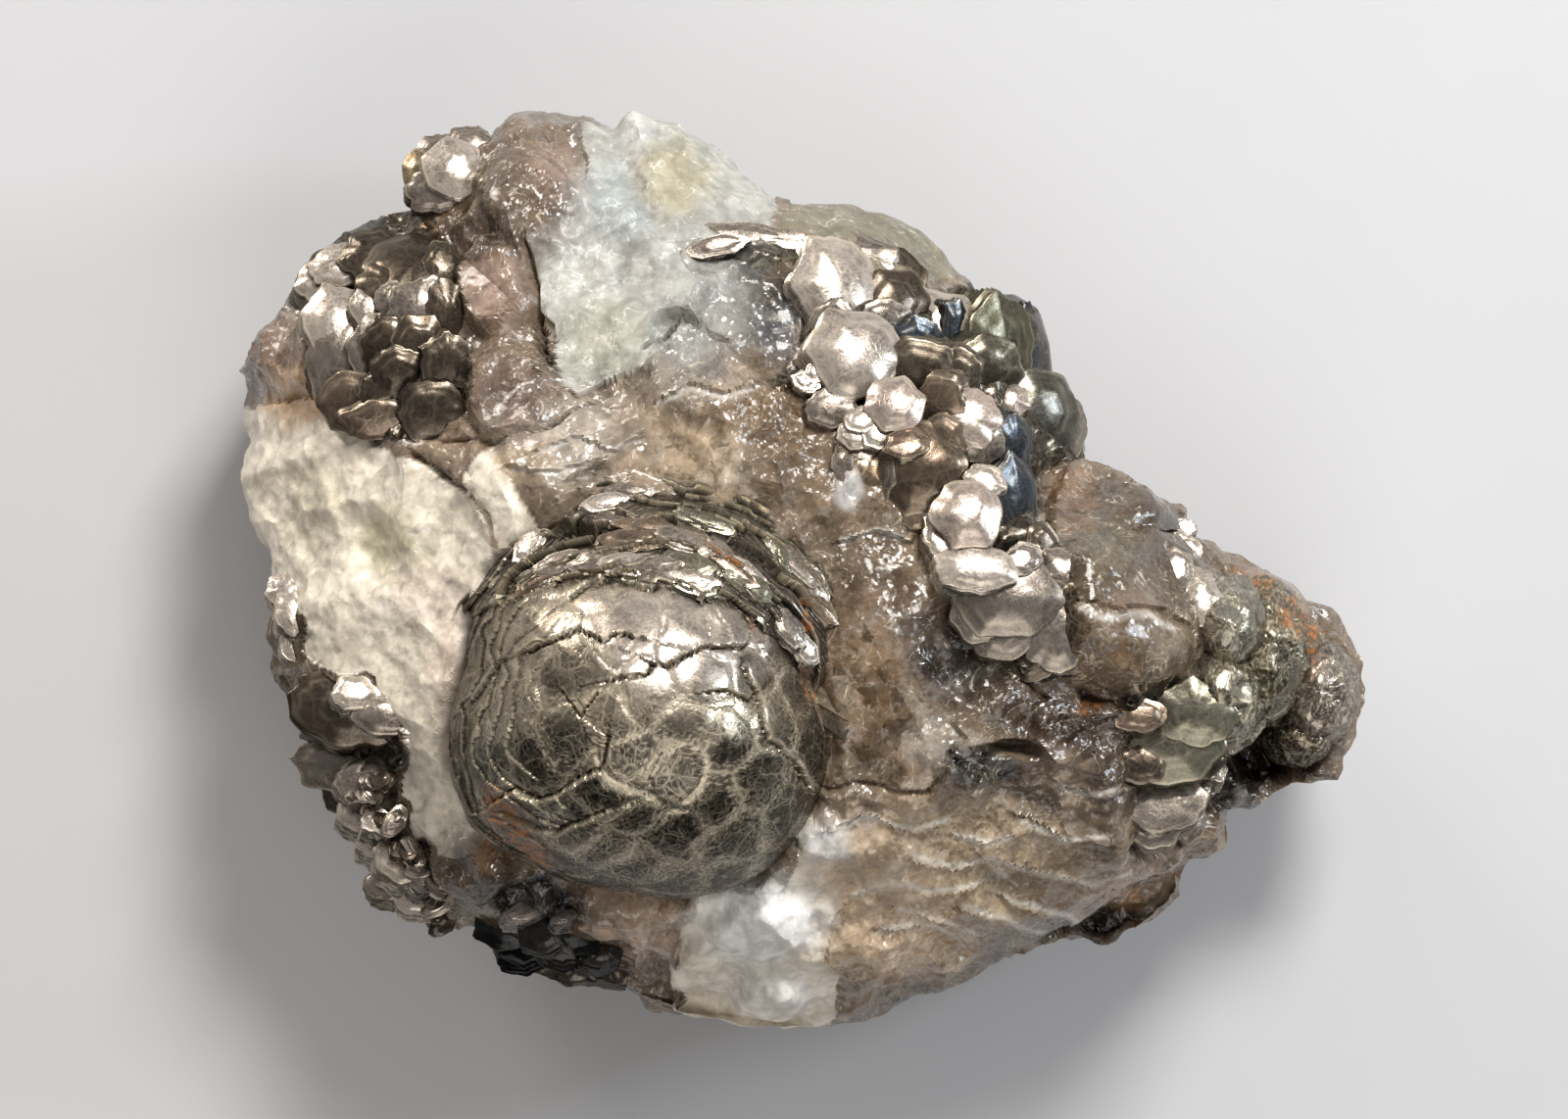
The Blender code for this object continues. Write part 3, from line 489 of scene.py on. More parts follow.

# Cloudy and stained patches of the rock, with painted shade in some hollows and undersides and
# painted light on some faces: x, y, half sizes, turn, colour, strength
PATCHES = [
    (5.0, 10.0, 12.0, 8.0, -20, BROWN, 0.5),
    (-3.0, 15.0, 5.0, 4.0, 0, BROWN, 0.8),
    (-8.0, 17.5, 4.6, 2.6, -10, BROWN, 0.5),
    (-8.8, 11.0, 3.4, 2.0, -10, PALE_GREY, 0.9),
    (-14.0, 12.6, 8.5, 3.6, -5, tint(184, 162, 136), 0.9),
    (-5.0, 27.5, 6.5, 5.0, -10, DARK_GREY, 0.85),
    (-2.0, 24.0, 3.0, 4.0, 0, BLUE_GREY, 0.5),
    (-11.4, 23.4, 5.4, 3.2, -35, tint(52, 42, 34), 1.0),
    (-24.0, 13.5, 8.0, 5.0, 10, PALE_GREY, 0.7),
    (-28.0, 11.0, 3.0, 2.5, 0, BEIGE, 0.6),
    (-17.0, 12.5, 4.0, 3.6, 0, GREY_BROWN, 0.4),
    (-31.4, 28.8, 4.0, 5.0, 5, PINKISH, 0.8),
    (-29.7, 17.9, 4.6, 5.2, -10, tint(112, 93, 82), 0.85),
    (-31.6, 17.2, 1.6, 3.4, 10, GREY_BROWN, 0.6),
    (-36.0, 36.7, 4.0, 3.4, 0, BROWN, 0.8),
    (-28.0, 39.0, 8.0, 7.0, 0, tint(86, 72, 60), 0.85),
    (-25.0, 41.8, 4.0, 3.0, 0, PINKISH, 0.5),
    (-33.5, 34.0, 5.0, 3.0, 10, DARK_BROWN, 0.7),
    (-17.3, 45.5, 2.6, 2.0, 0, MILKY, 0.8),
    (-53.0, 21.5, 6.0, 7.0, 10, PINKISH, 0.7),
    (-51.6, 18.2, 5.0, 3.6, 0, tint(196, 166, 134), 0.95),
    (-50.5, 26.0, 3.0, 3.0, 0, PALE_GREY, 0.5),
    (9.5, -9.0, 9.0, 11.0, 10, BROWN, 0.7),
    (6.0, -13.0, 5.0, 7.0, 10, ORANGE, 0.25),
    (14.8, -9.0, 4.4, 6.0, 25, tint(44, 39, 34), 0.95),
    (20.0, -12.6, 5.0, 3.0, -10, tint(56, 47, 38), 0.85),
    (12.0, -4.4, 4.6, 3.0, -10, GREY_BROWN, 0.6),
    (9.6, -1.0, 4.0, 3.4, 10, BROWN, 0.6),
    (12.6, 1.6, 3.2, 2.6, 0, BEIGE, 0.6),
    (5.0, 8.4, 1.9, 2.2, 0, MILKY, 0.7),
    (14.0, -17.6, 4.6, 3.0, -20, PALE_GREY, 0.7),
    (15.5, -1.0, 2.0, 1.6, 0, BEIGE, 0.5),
    (34.0, 0.0, 10.0, 13.0, 10, tint(74, 62, 48), 0.95),
    (33.0, -4.6, 4.6, 3.4, 10, tint(112, 92, 74), 0.7),
    (27.8, 7.2, 3.8, 3.2, 0, tint(112, 84, 56), 0.8),
    (31.5, 3.0, 3.0, 3.6, 0, OLIVE, 0.3),
    (36.5, -6.5, 3.4, 3.4, 0, tint(124, 110, 92), 0.5),
    (31.0, -9.5, 4.0, 2.6, 0, ORANGE, 0.4),
    (37.2, 6.0, 3.0, 2.0, 0, GREY_BROWN, 0.5),
    # Painted shade: the undercut below the quartz edge
    (18.0, -20.2, 6.0, 2.2, -15, tint(34, 30, 26), 0.95),
    (28.5, -15.4, 9.0, 4.2, -5, tint(50, 37, 26), 0.95),
    (32.5, -21.0, 4.0, 4.0, 0, tint(58, 47, 37), 0.85),
    # Painted shade: a second undercut
    (24.3, -24.6, 3.2, 1.7, -40, DARK_BROWN, 0.9),
    # Partly the quartz's own beige, partly painted light on a face turned from the key light
    (18.0, -30.0, 13.0, 7.5, -15, tint(164, 143, 115), 0.9),
    (24.0, -33.0, 5.0, 2.2, -20, GREY_BROWN, 0.6),
    # Partly the quartz's own beige, partly painted light on a face turned from the key light
    (8.0, -30.0, 7.5, 7.5, -10, tint(192, 168, 142), 0.95),
    (2.0, -27.5, 3.0, 2.8, 0, MILKY, 0.8),
    (5.5, -39.0, 3.4, 3.2, 0, BEIGE, 0.8),
    # Partly the quartz's own beige, partly painted light on a face turned from the key light
    (10.0, -37.5, 9.0, 4.6, -10, tint(184, 158, 130), 0.9),
    (33.4, -32.4, 2.0, 1.8, 0, ORANGE, 0.8),
    (29.0, -33.5, 6.0, 3.6, 0, tint(128, 108, 86), 0.7),
    (41.0, -27.0, 3.4, 3.4, 0, BROWN, 0.6),
    # Painted shadow on the underside where the front rolls down
    (31.0, -37.0, 8.0, 2.6, 5, tint(20, 18, 18), 1.0),
    (-18.6, -35.6, 7.6, 6.0, -20, tint(160, 136, 116), 0.95),
    # Painted shadow under the front's lower edge, above the dark foot
    (-27.5, -33.4, 7.0, 2.6, -15, tint(22, 18, 16), 1.0),
    (-33.0, -29.5, 4.6, 3.8, 10, tint(70, 56, 46), 0.8),
    (-32.6, -29.0, 1.7, 1.9, 0, ORANGE, 0.7),
    (-41.8, 2.6, 3.4, 5.4, 30, tint(186, 180, 150), 0.8),
    (-50.0, 7.0, 4.0, 5.0, 0, tint(196, 186, 160), 0.5),
    (-36.5, -3.0, 6.0, 4.5, -20, tint(232, 216, 200), 0.7),
    (-34.0, -12.0, 5.0, 6.0, 0, tint(222, 200, 182), 0.6),
    (-52.0, -9.0, 2.6, 3.6, 0, OLIVE, 0.5),
    # Partly the top albite's own greyer white, partly painted shade: set darker because the key
    # light falls full on it
    (-14.0, 34.0, 10.0, 16.0, 10, tint(156, 155, 149), 0.8),
    (-13.0, 40.5, 4.6, 4.6, 0, tint(150, 142, 116), 0.8),
    (-19.0, 38.0, 4.0, 5.0, 20, tint(146, 152, 150), 0.8),
    (-20.0, 24.0, 5.0, 5.0, 0, tint(150, 148, 134), 0.9),
    # Painted light: the albite foot, turned from the key light, is whitened
    (-4.0, -36.0, 7.5, 5.0, 10, tint(222, 220, 216), 1.0),
    (-3.0, -43.5, 6.0, 3.0, 0, tint(232, 226, 218), 0.9),
    (17.0, 29.6, 2.6, 2.0, -30, tint(130, 112, 88), 0.8),
    # Painted shade: the hollow between the end ball and the tip ball
    (49.0, -19.0, 6.5, 4.5, 15, tint(30, 26, 22), 1.0),
    (45.5, -23.6, 3.0, 3.0, 0, tint(36, 31, 26), 0.9),
]
# Iron stains: x, y, half sizes, turn, strength
STAINS = [
    (17.2, 28.3, 1.5, 1.2, -30, 1.0),
    (30.5, -13.6, 2.6, 0.7, -15, 0.7),
    (36.0, -14.8, 3.2, 0.6, 10, 0.8),
    (41.0, -11.0, 2.2, 0.8, 45, 0.7),
    (28.0, 9.7, 3.4, 0.5, -5, 0.7),
    (51.2, -7.0, 2.6, 4.6, 15, 0.9),
    (45.5, 0.0, 3.0, 1.6, -30, 0.5),
    (34.0, -34.0, 2.6, 1.4, 0, 0.6),
    (-31.0, -26.5, 3.0, 2.2, -40, 0.8),
    (1.3, -14.6, 0.5, 6.0, 0, 0.9),
    (-31.2, 2.4, 0.5, 2.2, 0, 0.6),
    (9.6, -41.6, 2.0, 1.4, 0, 0.6),
    (39.6, -31.0, 1.4, 1.4, 0, 0.5),
    (36.3, -31.0, 0.9, 2.6, 10, 0.6),
]
# Where tiny broken faces of the quartz sparkle: x, y, half sizes, strength
GLINTS = [
    (-3.0, 16.0, 6.0, 5.0, 1.0), (-9.0, 19.0, 5.0, 2.4, 0.8), (-5.0, 28.0, 6.0, 5.0, 0.6),
    (6.0, 0.0, 6.0, 5.0, 0.5), (8.0, 5.0, 4.0, 3.0, 0.6), (14.0, -16.0, 4.0, 3.0, 0.6),
    (8.0, -20.5, 6.0, 2.0, 0.6), (14.0, -37.0, 10.0, 5.0, 0.9), (20.0, -28.0, 12.0, 6.0, 0.8),
    (33.0, 4.0, 6.0, 5.0, 0.6), (-28.0, 40.0, 8.0, 6.0, 0.7), (-16.0, 29.0, 6.0, 4.0, 0.5),
    (-17.3, 45.6, 2.4, 1.8, 1.0), (-14.0, 10.0, 4.0, 2.4, 0.6), (-12.0, -42.0, 6.0, 3.0, 0.5),
]

BALL_CENTRE = (-16.4, -14.3, 40.5)
BALL_HEIGHT = 21.4
# The rock's skin is left open under this share of the ball, above this height
UNDER_BALL = 0.93
UNDER_BALL_HEIGHT = 25
# How far the ball's widest line is from its centre, by degrees
BALL_REACH = [
    (8, 18.2), (38, 20.2), (60, 20.4), (90, 20.0), (115, 19.8), (139, 20.4), (165, 18.2),
    (193, 20.1), (214, 20.8), (235, 19.1), (266, 18.3), (284, 19.6), (311, 20.7), (344, 20.3),
]


def warped(points, size, amount, seed):
    """The points moved about by smooth noise, which makes the edges of patches irregular."""
    shift = np.stack([fractal(points[..., :2], size, seed + 40 * axis, 3) for axis in range(2)], -1)
    return points[..., :2] + shift * amount


def warped_3d(points, size, amount, seed):
    """The points moved about by smooth noise in all three directions."""
    shift = [value_noise(points, size, seed + 7 * axis) for axis in range(3)]
    return points + np.stack(shift, axis=-1) * amount


def vein_place(points):
    """The points moved so that the veins waver."""
    return warped(points, 1.6, 0.35, 91)


def stained(place, stains, full):
    """How strong the iron stains are, at full strength inside this share of their ovals."""
    rust = np.zeros(len(place))
    for x, y, wide, deep, turn, strength in stains:
        rust = np.maximum(rust, strength * smooth(1.3, full, oval(place, x, y, wide, deep, turn)))
    return rust


def ball_share(points):
    """How far each point is from the ball's centre line, 1 on the ball's widest line."""
    x, y = points[..., 0] - BALL_CENTRE[0], points[..., 1] - BALL_CENTRE[1]
    return np.hypot(x, y) / by_direction(BALL_REACH, np.arctan2(y, x))


def mineral_of(points):
    """The number of the mineral at each point: 0 is quartz, then MINERALS in order."""
    place = warped_3d(warped_3d(points, 7.0, 1.5, 520), 2.4, 0.7, 500)
    height = points[:, 2] + 2.6 * fractal(points, 6.0, 540, 3)
    found = np.zeros(len(points), int)
    for number, (low, outline) in enumerate(MINERALS.values(), start=1):
        found = np.where(inside(place, outline) & (height > low), number, found)
    return found


def rock_relief(points, facing, mineral):
    """How far each point of the rock's skin stands out or in."""
    up = smooth(0.1, 0.45, facing[:, 2])
    albite = (mineral >= 1) & (mineral <= 4)
    calm = np.zeros(len(points))
    for x, y, wide, deep, turn in CALM_FACES:
        calm = np.maximum(calm, up * smooth(1.15, 0.7, oval(points, x, y, wide, deep, turn)))
    coarse = facets(points, 10.0, 0.40, 0.46, 11) + fractal(points, 16.0, 21, 2) * 0.9
    middle = facets(warped_3d(points, 3.0, 0.5, 61), 4.2, 0.62, 0.72, 31)
    small = facets(points, 1.6, 0.62, 0.72, 41)
    grain = fractal(points, 1.0, 51, 2)
    lumps = fractal(points, 5.0, 71, 3)
    flow = points @ np.array([[0.94, 0.34], [-0.34, 0.94], [0.0, 0.0]]) * (0.32, 1.0)
    ripple = fractal(flow, 1.5, 75, 3) * smooth(1.2, 0.6, oval(points, *RIPPLES))
    quartz_rise = coarse * (0.85 - 0.3 * calm) + middle * (0.50 - 0.42 * calm)
    quartz_rise += small * (0.50 - 0.42 * calm) + grain * 0.03 + ripple * 0.22 * up
    albite_rise = coarse * 0.5 + lumps * 0.5 + middle * 0.22 + small * 0.26 + grain * 0.06
    rise = np.where(albite, albite_rise, quartz_rise)
    rise = np.where(rise > 0.6, 0.6 + 0.7 * np.tanh((rise - 0.6) / 0.7), rise)
    rise *= smooth(0.0, 3.0, points[:, 2])
    place = warped(points, 2.6, 0.5, 81)
    for x, y, wide, deep, turn, height, softness in FORMS:
        rise += height * up * smooth(1.08, 1.08 - softness, oval(place, x, y, wide, deep, turn))
    for depth, width, line in SEAMS:
        gap, _ = line_gap(place, line)
        rise -= depth * up * np.exp(-((gap / width) ** 2))
    place = vein_place(points)
    for line in VEINS:
        gap, side = line_gap(place, line)
        rise += 0.35 * up * side * np.exp(-gap / 0.9)
    groove = np.exp(-(((ball_share(points) - 1.0) / 0.035) ** 2))
    return rise - 1.6 * up * groove


def rock_paint(points, facing, mineral):
    """Colour, sparkle, pale lines and rust of the rock's skin, the colour with some painted shade
    and painted light.
    """
    up = smooth(0.05, 0.4, facing[:, 2])
    albite = (mineral >= 1) & (mineral <= 4)
    tone = np.array(MINERAL_TONES)[np.minimum(mineral, 5)]
    place = warped(points, 2.4, 1.1, 101)
    for x, y, wide, deep, turn, colour, strength in PATCHES:
        share = up * strength * smooth(1.25, 0.45, oval(place, x, y, wide, deep, turn))
        tone = tone + (np.array(colour) - tone) * share[:, None]
    depth = np.where(albite, 0.14, 0.34)
    tone = tone * (1 + depth * fractal(points, 7.0, 111, 3))[:, None]
    tone = tone * (1 + depth * fractal(points, 2.6, 115, 4))[:, None]
    veil = smooth(0.10, 0.80, fractal(warped_3d(points, 3.0, 1.0, 121), 2.4, 131, 4))
    pale = np.where(albite, 0.0, veil * 0.28)
    tone = tone + (np.array(PALE_GREY) - tone) * pale[:, None]
    rust = up * stained(place, STAINS, 0.3)
    glint = np.full(len(points), 0.38)
    for x, y, wide, deep, strength in GLINTS:
        glint = np.maximum(glint, strength * smooth(1.2, 0.4, oval(place, x, y, wide, deep)))
    line = np.zeros(len(points))
    place = vein_place(points)
    for vein in VEINS:
        gap, _ = line_gap(place, vein)
        line = np.maximum(line, up * np.exp(-((gap / 0.26) ** 2)))
    return np.concatenate([tone, glint[:, None]], 1), np.stack([line, rust, 0 * rust], 1)


def patch(points, faces, tone, marks):
    """A closed mesh in millimetres, with what is painted on its points."""
    return {"points": points, "faces": faces, "tone": tone, "marks": marks}


def closed_patch(skin, faces, core):
    """Some faces of the skin, closed by faces from their edge to one point deep inside."""
    edges = np.concatenate([faces[:, [0, 1]], faces[:, [1, 2]], faces[:, [2, 0]]])
    size = len(skin["points"])
    forward = edges[:, 0] * size + edges[:, 1]
    backward = edges[:, 1] * size + edges[:, 0]
    open_edges = edges[~np.isin(forward, backward)]
    used, index = np.unique(faces, return_inverse=True)
    place = np.full(size, -1)
    place[used] = np.arange(len(used))
    centre = len(used)
    walls = place[open_edges[:, ::-1]]
    walls = np.concatenate([walls, np.full((len(walls), 1), centre)], axis=1)
    inner = np.concatenate([index.reshape(faces.shape), walls])
    return patch(
        np.concatenate([skin["points"][used], [core]]),
        inner,
        np.concatenate([skin["tone"][used], [[0.1, 0.1, 0.1, 0.0]]]),
        np.concatenate([skin["marks"][used], [[0.0, 0.0, 0.0]]]),
    )


def rock_patches():
    """The rock's skin cut into one closed patch for each mineral."""
    points, faces = rock_skin()
    facing = normals(points, faces)
    mineral = mineral_of(points)
    points = points + facing * rock_relief(points, facing, mineral)[:, None]
    points[:, 2] = np.maximum(points[:, 2], 0.0)
    tone, marks = rock_paint(points, facing, mineral)
    skin = patch(points, faces, tone, marks)
    middle = points[faces].mean(axis=1)
    owner = mineral_of(middle)
    hidden = (ball_share(middle) < UNDER_BALL) & (middle[:, 2] > UNDER_BALL_HEIGHT)
    cut = {}
    for number, name in enumerate(["smoky_quartz", *MINERALS]):
        own = faces[(owner == number) & ~hidden]
        centre = points[np.unique(own)].mean(axis=0)
        core = (centre[0] * 0.9, centre[1] * 0.9, CORE_HEIGHT)
        cut[name] = closed_patch(skin, own, core)
    return cut


# Curved plates of the main ball: x, y of each middle, and how dark its middle is, partly the mica's
# own dark and partly painted shade, darker on the lower half away from the highlight
BALL_PLATES = [
    (-4.1, -21.0, 1.0), (-7.3, -17.2, 0.8), (-17.6, -19.5, 0.6), (-22.8, -16.7, 0.35),
    (-27.4, -19.8, 0.3), (-27.1, -24.1, 0.7), (-19.1, -22.1, 0.7), (-13.3, -26.7, 0.9),
    (-6.4, -26.7, 0.9), (-22.2, -26.7, 0.7), (-12.7, -31.9, 0.8), (-19.9, -28.4, 0.6),
    (-12.5, -20.7, 0.7), (-2.7, -14.7, 0.5), (-22.8, -10.3, 0.9), (-28.8, -7.5, 0.8),
    (-30.5, -11.3, 0.8), (-29.4, -1.2, 0.7), (-17.7, -5.7, 0.1), (-11.7, -5.7, 0.1),
    (-7.7, -5.7, 0.3), (-15.7, 2.3, 0.3), (-9.7, 1.3, 0.3), (-15.7, -12.7, 0.1),
    (-9.7, -10.7, 0.45), (-4.7, -11.7, 0.8), (-1.2, -7.2, 0.4), (0.3, -11.7, 0.7),
    (-1.7, -23.7, 0.6), (-2.7, -28.7, 0.8), (-8.7, -22.7, 0.6), (-16.7, -24.7, 0.6),
    (-31.7, -19.7, 0.6), (-33.7, -15.7, 0.6), (-25.7, -3.7, 0.3), (-21.7, -1.7, 0.3),
    (-25.7, 0.3, 0.5), (-16.7, -30.7, 0.7), (-24.7, -29.7, 0.5), (-7.7, -30.7, 0.8),
    (-30.2, -26.7, 0.4), (1.3, -17.7, 0.4), (-11.7, -15.7, 0.7), (-19.7, -14.7, 0.4),
]
# Cracks of the main ball, the plate on their left standing over the one on their right
BALL_CRACKS = [
    (0.42, [(-23.1, -2.8), (-21.0, -1.2), (-18.7, -0.7), (-16.6, -1.6), (-15.0, -1.9),
            (-14.5, -1.2), (-12.4, -2.0), (-10.6, -2.5), (-9.0, -2.8), (-7.9, -2.0),
            (-6.1, -3.6), (-5.1, -5.4)]),
    (0.40, [(-27.5, -8.0), (-24.4, -6.7), (-22.3, -6.0), (-20.0, -7.0), (-18.7, -6.4),
            (-16.0, -7.0)]),
    (0.42, [(-15.0, -9.2), (-13.7, -9.7), (-11.6, -8.5), (-9.5, -7.7), (-5.8, -7.7),
            (-5.3, -6.4)]),
    (0.25, [(-20.0, -11.1), (-17.9, -10.6), (-15.3, -10.4), (-15.0, -9.3)]),
    (-0.42, [(-32.0, -24.0), (-29.1, -22.1), (-26.5, -23.2), (-24.7, -22.6), (-22.3, -20.8),
             (-20.2, -20.0), (-19.4, -18.2), (-19.2, -16.6)]),
    (-0.30, [(-30.2, -24.7), (-26.8, -25.8), (-24.9, -26.2), (-22.1, -25.0), (-19.7, -24.2)]),
    (0.32, [(-5.8, -9.6), (-4.5, -12.5), (-4.0, -15.3), (-3.5, -17.2), (-2.2, -17.8),
            (-0.6, -19.2), (0.7, -21.6)]),
    (0.22, [(-9.5, -12.1), (-7.9, -11.9), (-5.3, -13.0), (-4.8, -12.5)]),
    (0.30, [(-33.3, -12.8), (-32.3, -11.7), (-30.7, -9.8)]),
    (-0.35, [(-26.0, -0.2), (-27.5, 0.0), (-30.7, -1.2), (-32.0, -2.8)]),
    (0.25, [(-24.0, -12.0), (-22.4, -14.6), (-20.6, -12.2)]),
]
# Iron stains of the main ball
BALL_STAINS = [
    (-30.0, -24.8, 3.6, 1.9, -50, 1.0),
    (-27.4, -28.0, 3.6, 1.2, -35, 0.8),
    (-6.8, -3.4, 3.2, 0.8, -52, 1.0),
    (-9.6, 0.6, 2.4, 1.1, -30, 0.7),
    (0.6, -9.6, 0.8, 5.0, 0, 0.8),
    (-20.6, -12.6, 1.4, 1.2, 0, 0.15),
]
# Where a highlight is painted on the ball as brighter silver colour: x, y, half sizes, turn
BALL_PAINTED_HIGHLIGHT = (-12.5, -6.6, 11.5, 6.8, -10)
BALL_RINGS = 290
# How far down its sides the ball is modelled, in degrees from its top
BALL_SWEEP = 104
# Plates all round the ball, of which those PLATE_GAP away from the measured ones are kept
SPARE_PLATES = 130
PLATE_GAP = 4.4
PLATE_SIZE = 4.6
LOBE_SWEEP = 108
# The ledge of broken sheets round the ball's upper edge: direction, inner and outer distance
LEDGE = [
    (-8, 20.0, 21.4), (10, 17.4, 22.0), (35, 14.4, 24.0), (60, 12.4, 24.4), (95, 12.4, 24.0),
    (120, 14.6, 22.6), (140, 17.8, 21.6), (154, 20.2, 21.4),
]
# A hollow between its sheets, darkened as painted shade, and its iron stains: x, y, half sizes, turn
LEDGE_SHADED_HOLLOW = (-22.9, 4.4, 3.2, 0.9, -8)
LEDGE_STAIN = (-8.0, 1.2, 4.0, 1.1, -38)
LEDGE_END_STAIN = (0.6, -6.0, 0.5, 5.0)
LEDGE_ROWS = 84
LEDGE_COLUMNS = 250
# Width of a course of its sheets, length of a sheet, and width of the sheets' fine steps
COURSE_WIDTH = 1.7
SHEET_LENGTH = 5.0
SHEET_STEP = 0.55


def dome_points(centre, reach, height, rings, sweep):
    """A grid bent over the upper part of a rounded body, ready for its relief.

    reach gives how far the body stands out in each direction, and sweep how far down its sides
    the grid runs, in degrees from the top.
    """
    line = np.linspace(-1, 1, rings)
    u, v = np.meshgrid(line, line)
    angle, share = disc_place(u.ravel(), v.ravel())
    bend = share * math.radians(sweep)
    out = reach(angle) * np.sin(bend)
    points = np.stack([
        centre[0] + out * np.cos(angle), centre[1] + out * np.sin(angle),
        centre[2] + height * np.cos(bend),
    ], axis=-1)
    return points, grid_faces(rings, rings)


def closed_below(points, faces, tone, marks, rows, columns, depth):
    """Closes a grid by faces from its edge to a point below its middle."""
    loop = grid_loop(rows, columns)
    centre = points[loop].mean(axis=0) - (0, 0, depth)
    last = np.full(len(loop), len(points))
    walls = np.stack([loop, last, np.roll(loop, -1)], axis=1)
    return patch(
        np.concatenate([points, [centre]]), np.concatenate([faces, walls]),
        np.concatenate([tone, tone[:1]]), np.concatenate([marks, marks[:1]]),
    )


def plate_relief(points, middles, size, seed):
    """Curved plates round these middles: relief, edge distance, and the number of each plate."""
    place = warped_3d(points, size * 0.6, size * 0.26, seed)
    gaps = np.stack([np.linalg.norm(place - middle, axis=-1) for middle in middles], axis=-1)
    order = np.argpartition(gaps, 1, axis=-1)[:, :2]
    pair = np.take_along_axis(gaps, order, axis=-1)
    first = np.where(pair[:, 0] < pair[:, 1], order[:, 0], order[:, 1])
    edge = np.abs(pair[:, 0] - pair[:, 1]) / size
    way = place - middles[first]
    lift = hashed(np.stack([first, first * 0 + seed], -1), 3) - 0.5
    tilt = np.stack([hashed(np.stack([first, first * 0 + k], -1), seed) for k in range(3)], -1) - 0.5
    relief = 0.10 * smooth(0.0, 0.35, edge) + 0.16 * lift
    relief += 0.05 * np.sum(way * tilt, axis=-1) - 0.012 * way[:, 1]
    return relief, edge, first


def line_net(points, edge, seed):
    """The thin edges of mica sheets near a plate's border, as lines that wander."""
    wander = fractal(points, 2.4, seed, 3)
    contour = np.abs((edge * 5.0 + wander * 2.2) % 1.0 - 0.5)
    fine = np.abs((fractal(points, 1.7, seed + 5, 2) * 3.2) % 1.0 - 0.5)
    near = 1 - smooth(0.15, 0.75, edge)
    lines = smooth(0.36, 0.47, contour) * (0.2 + 0.8 * near)
    return np.maximum(lines, 0.6 * smooth(0.40, 0.48, fine) * (0.3 + 0.7 * near))


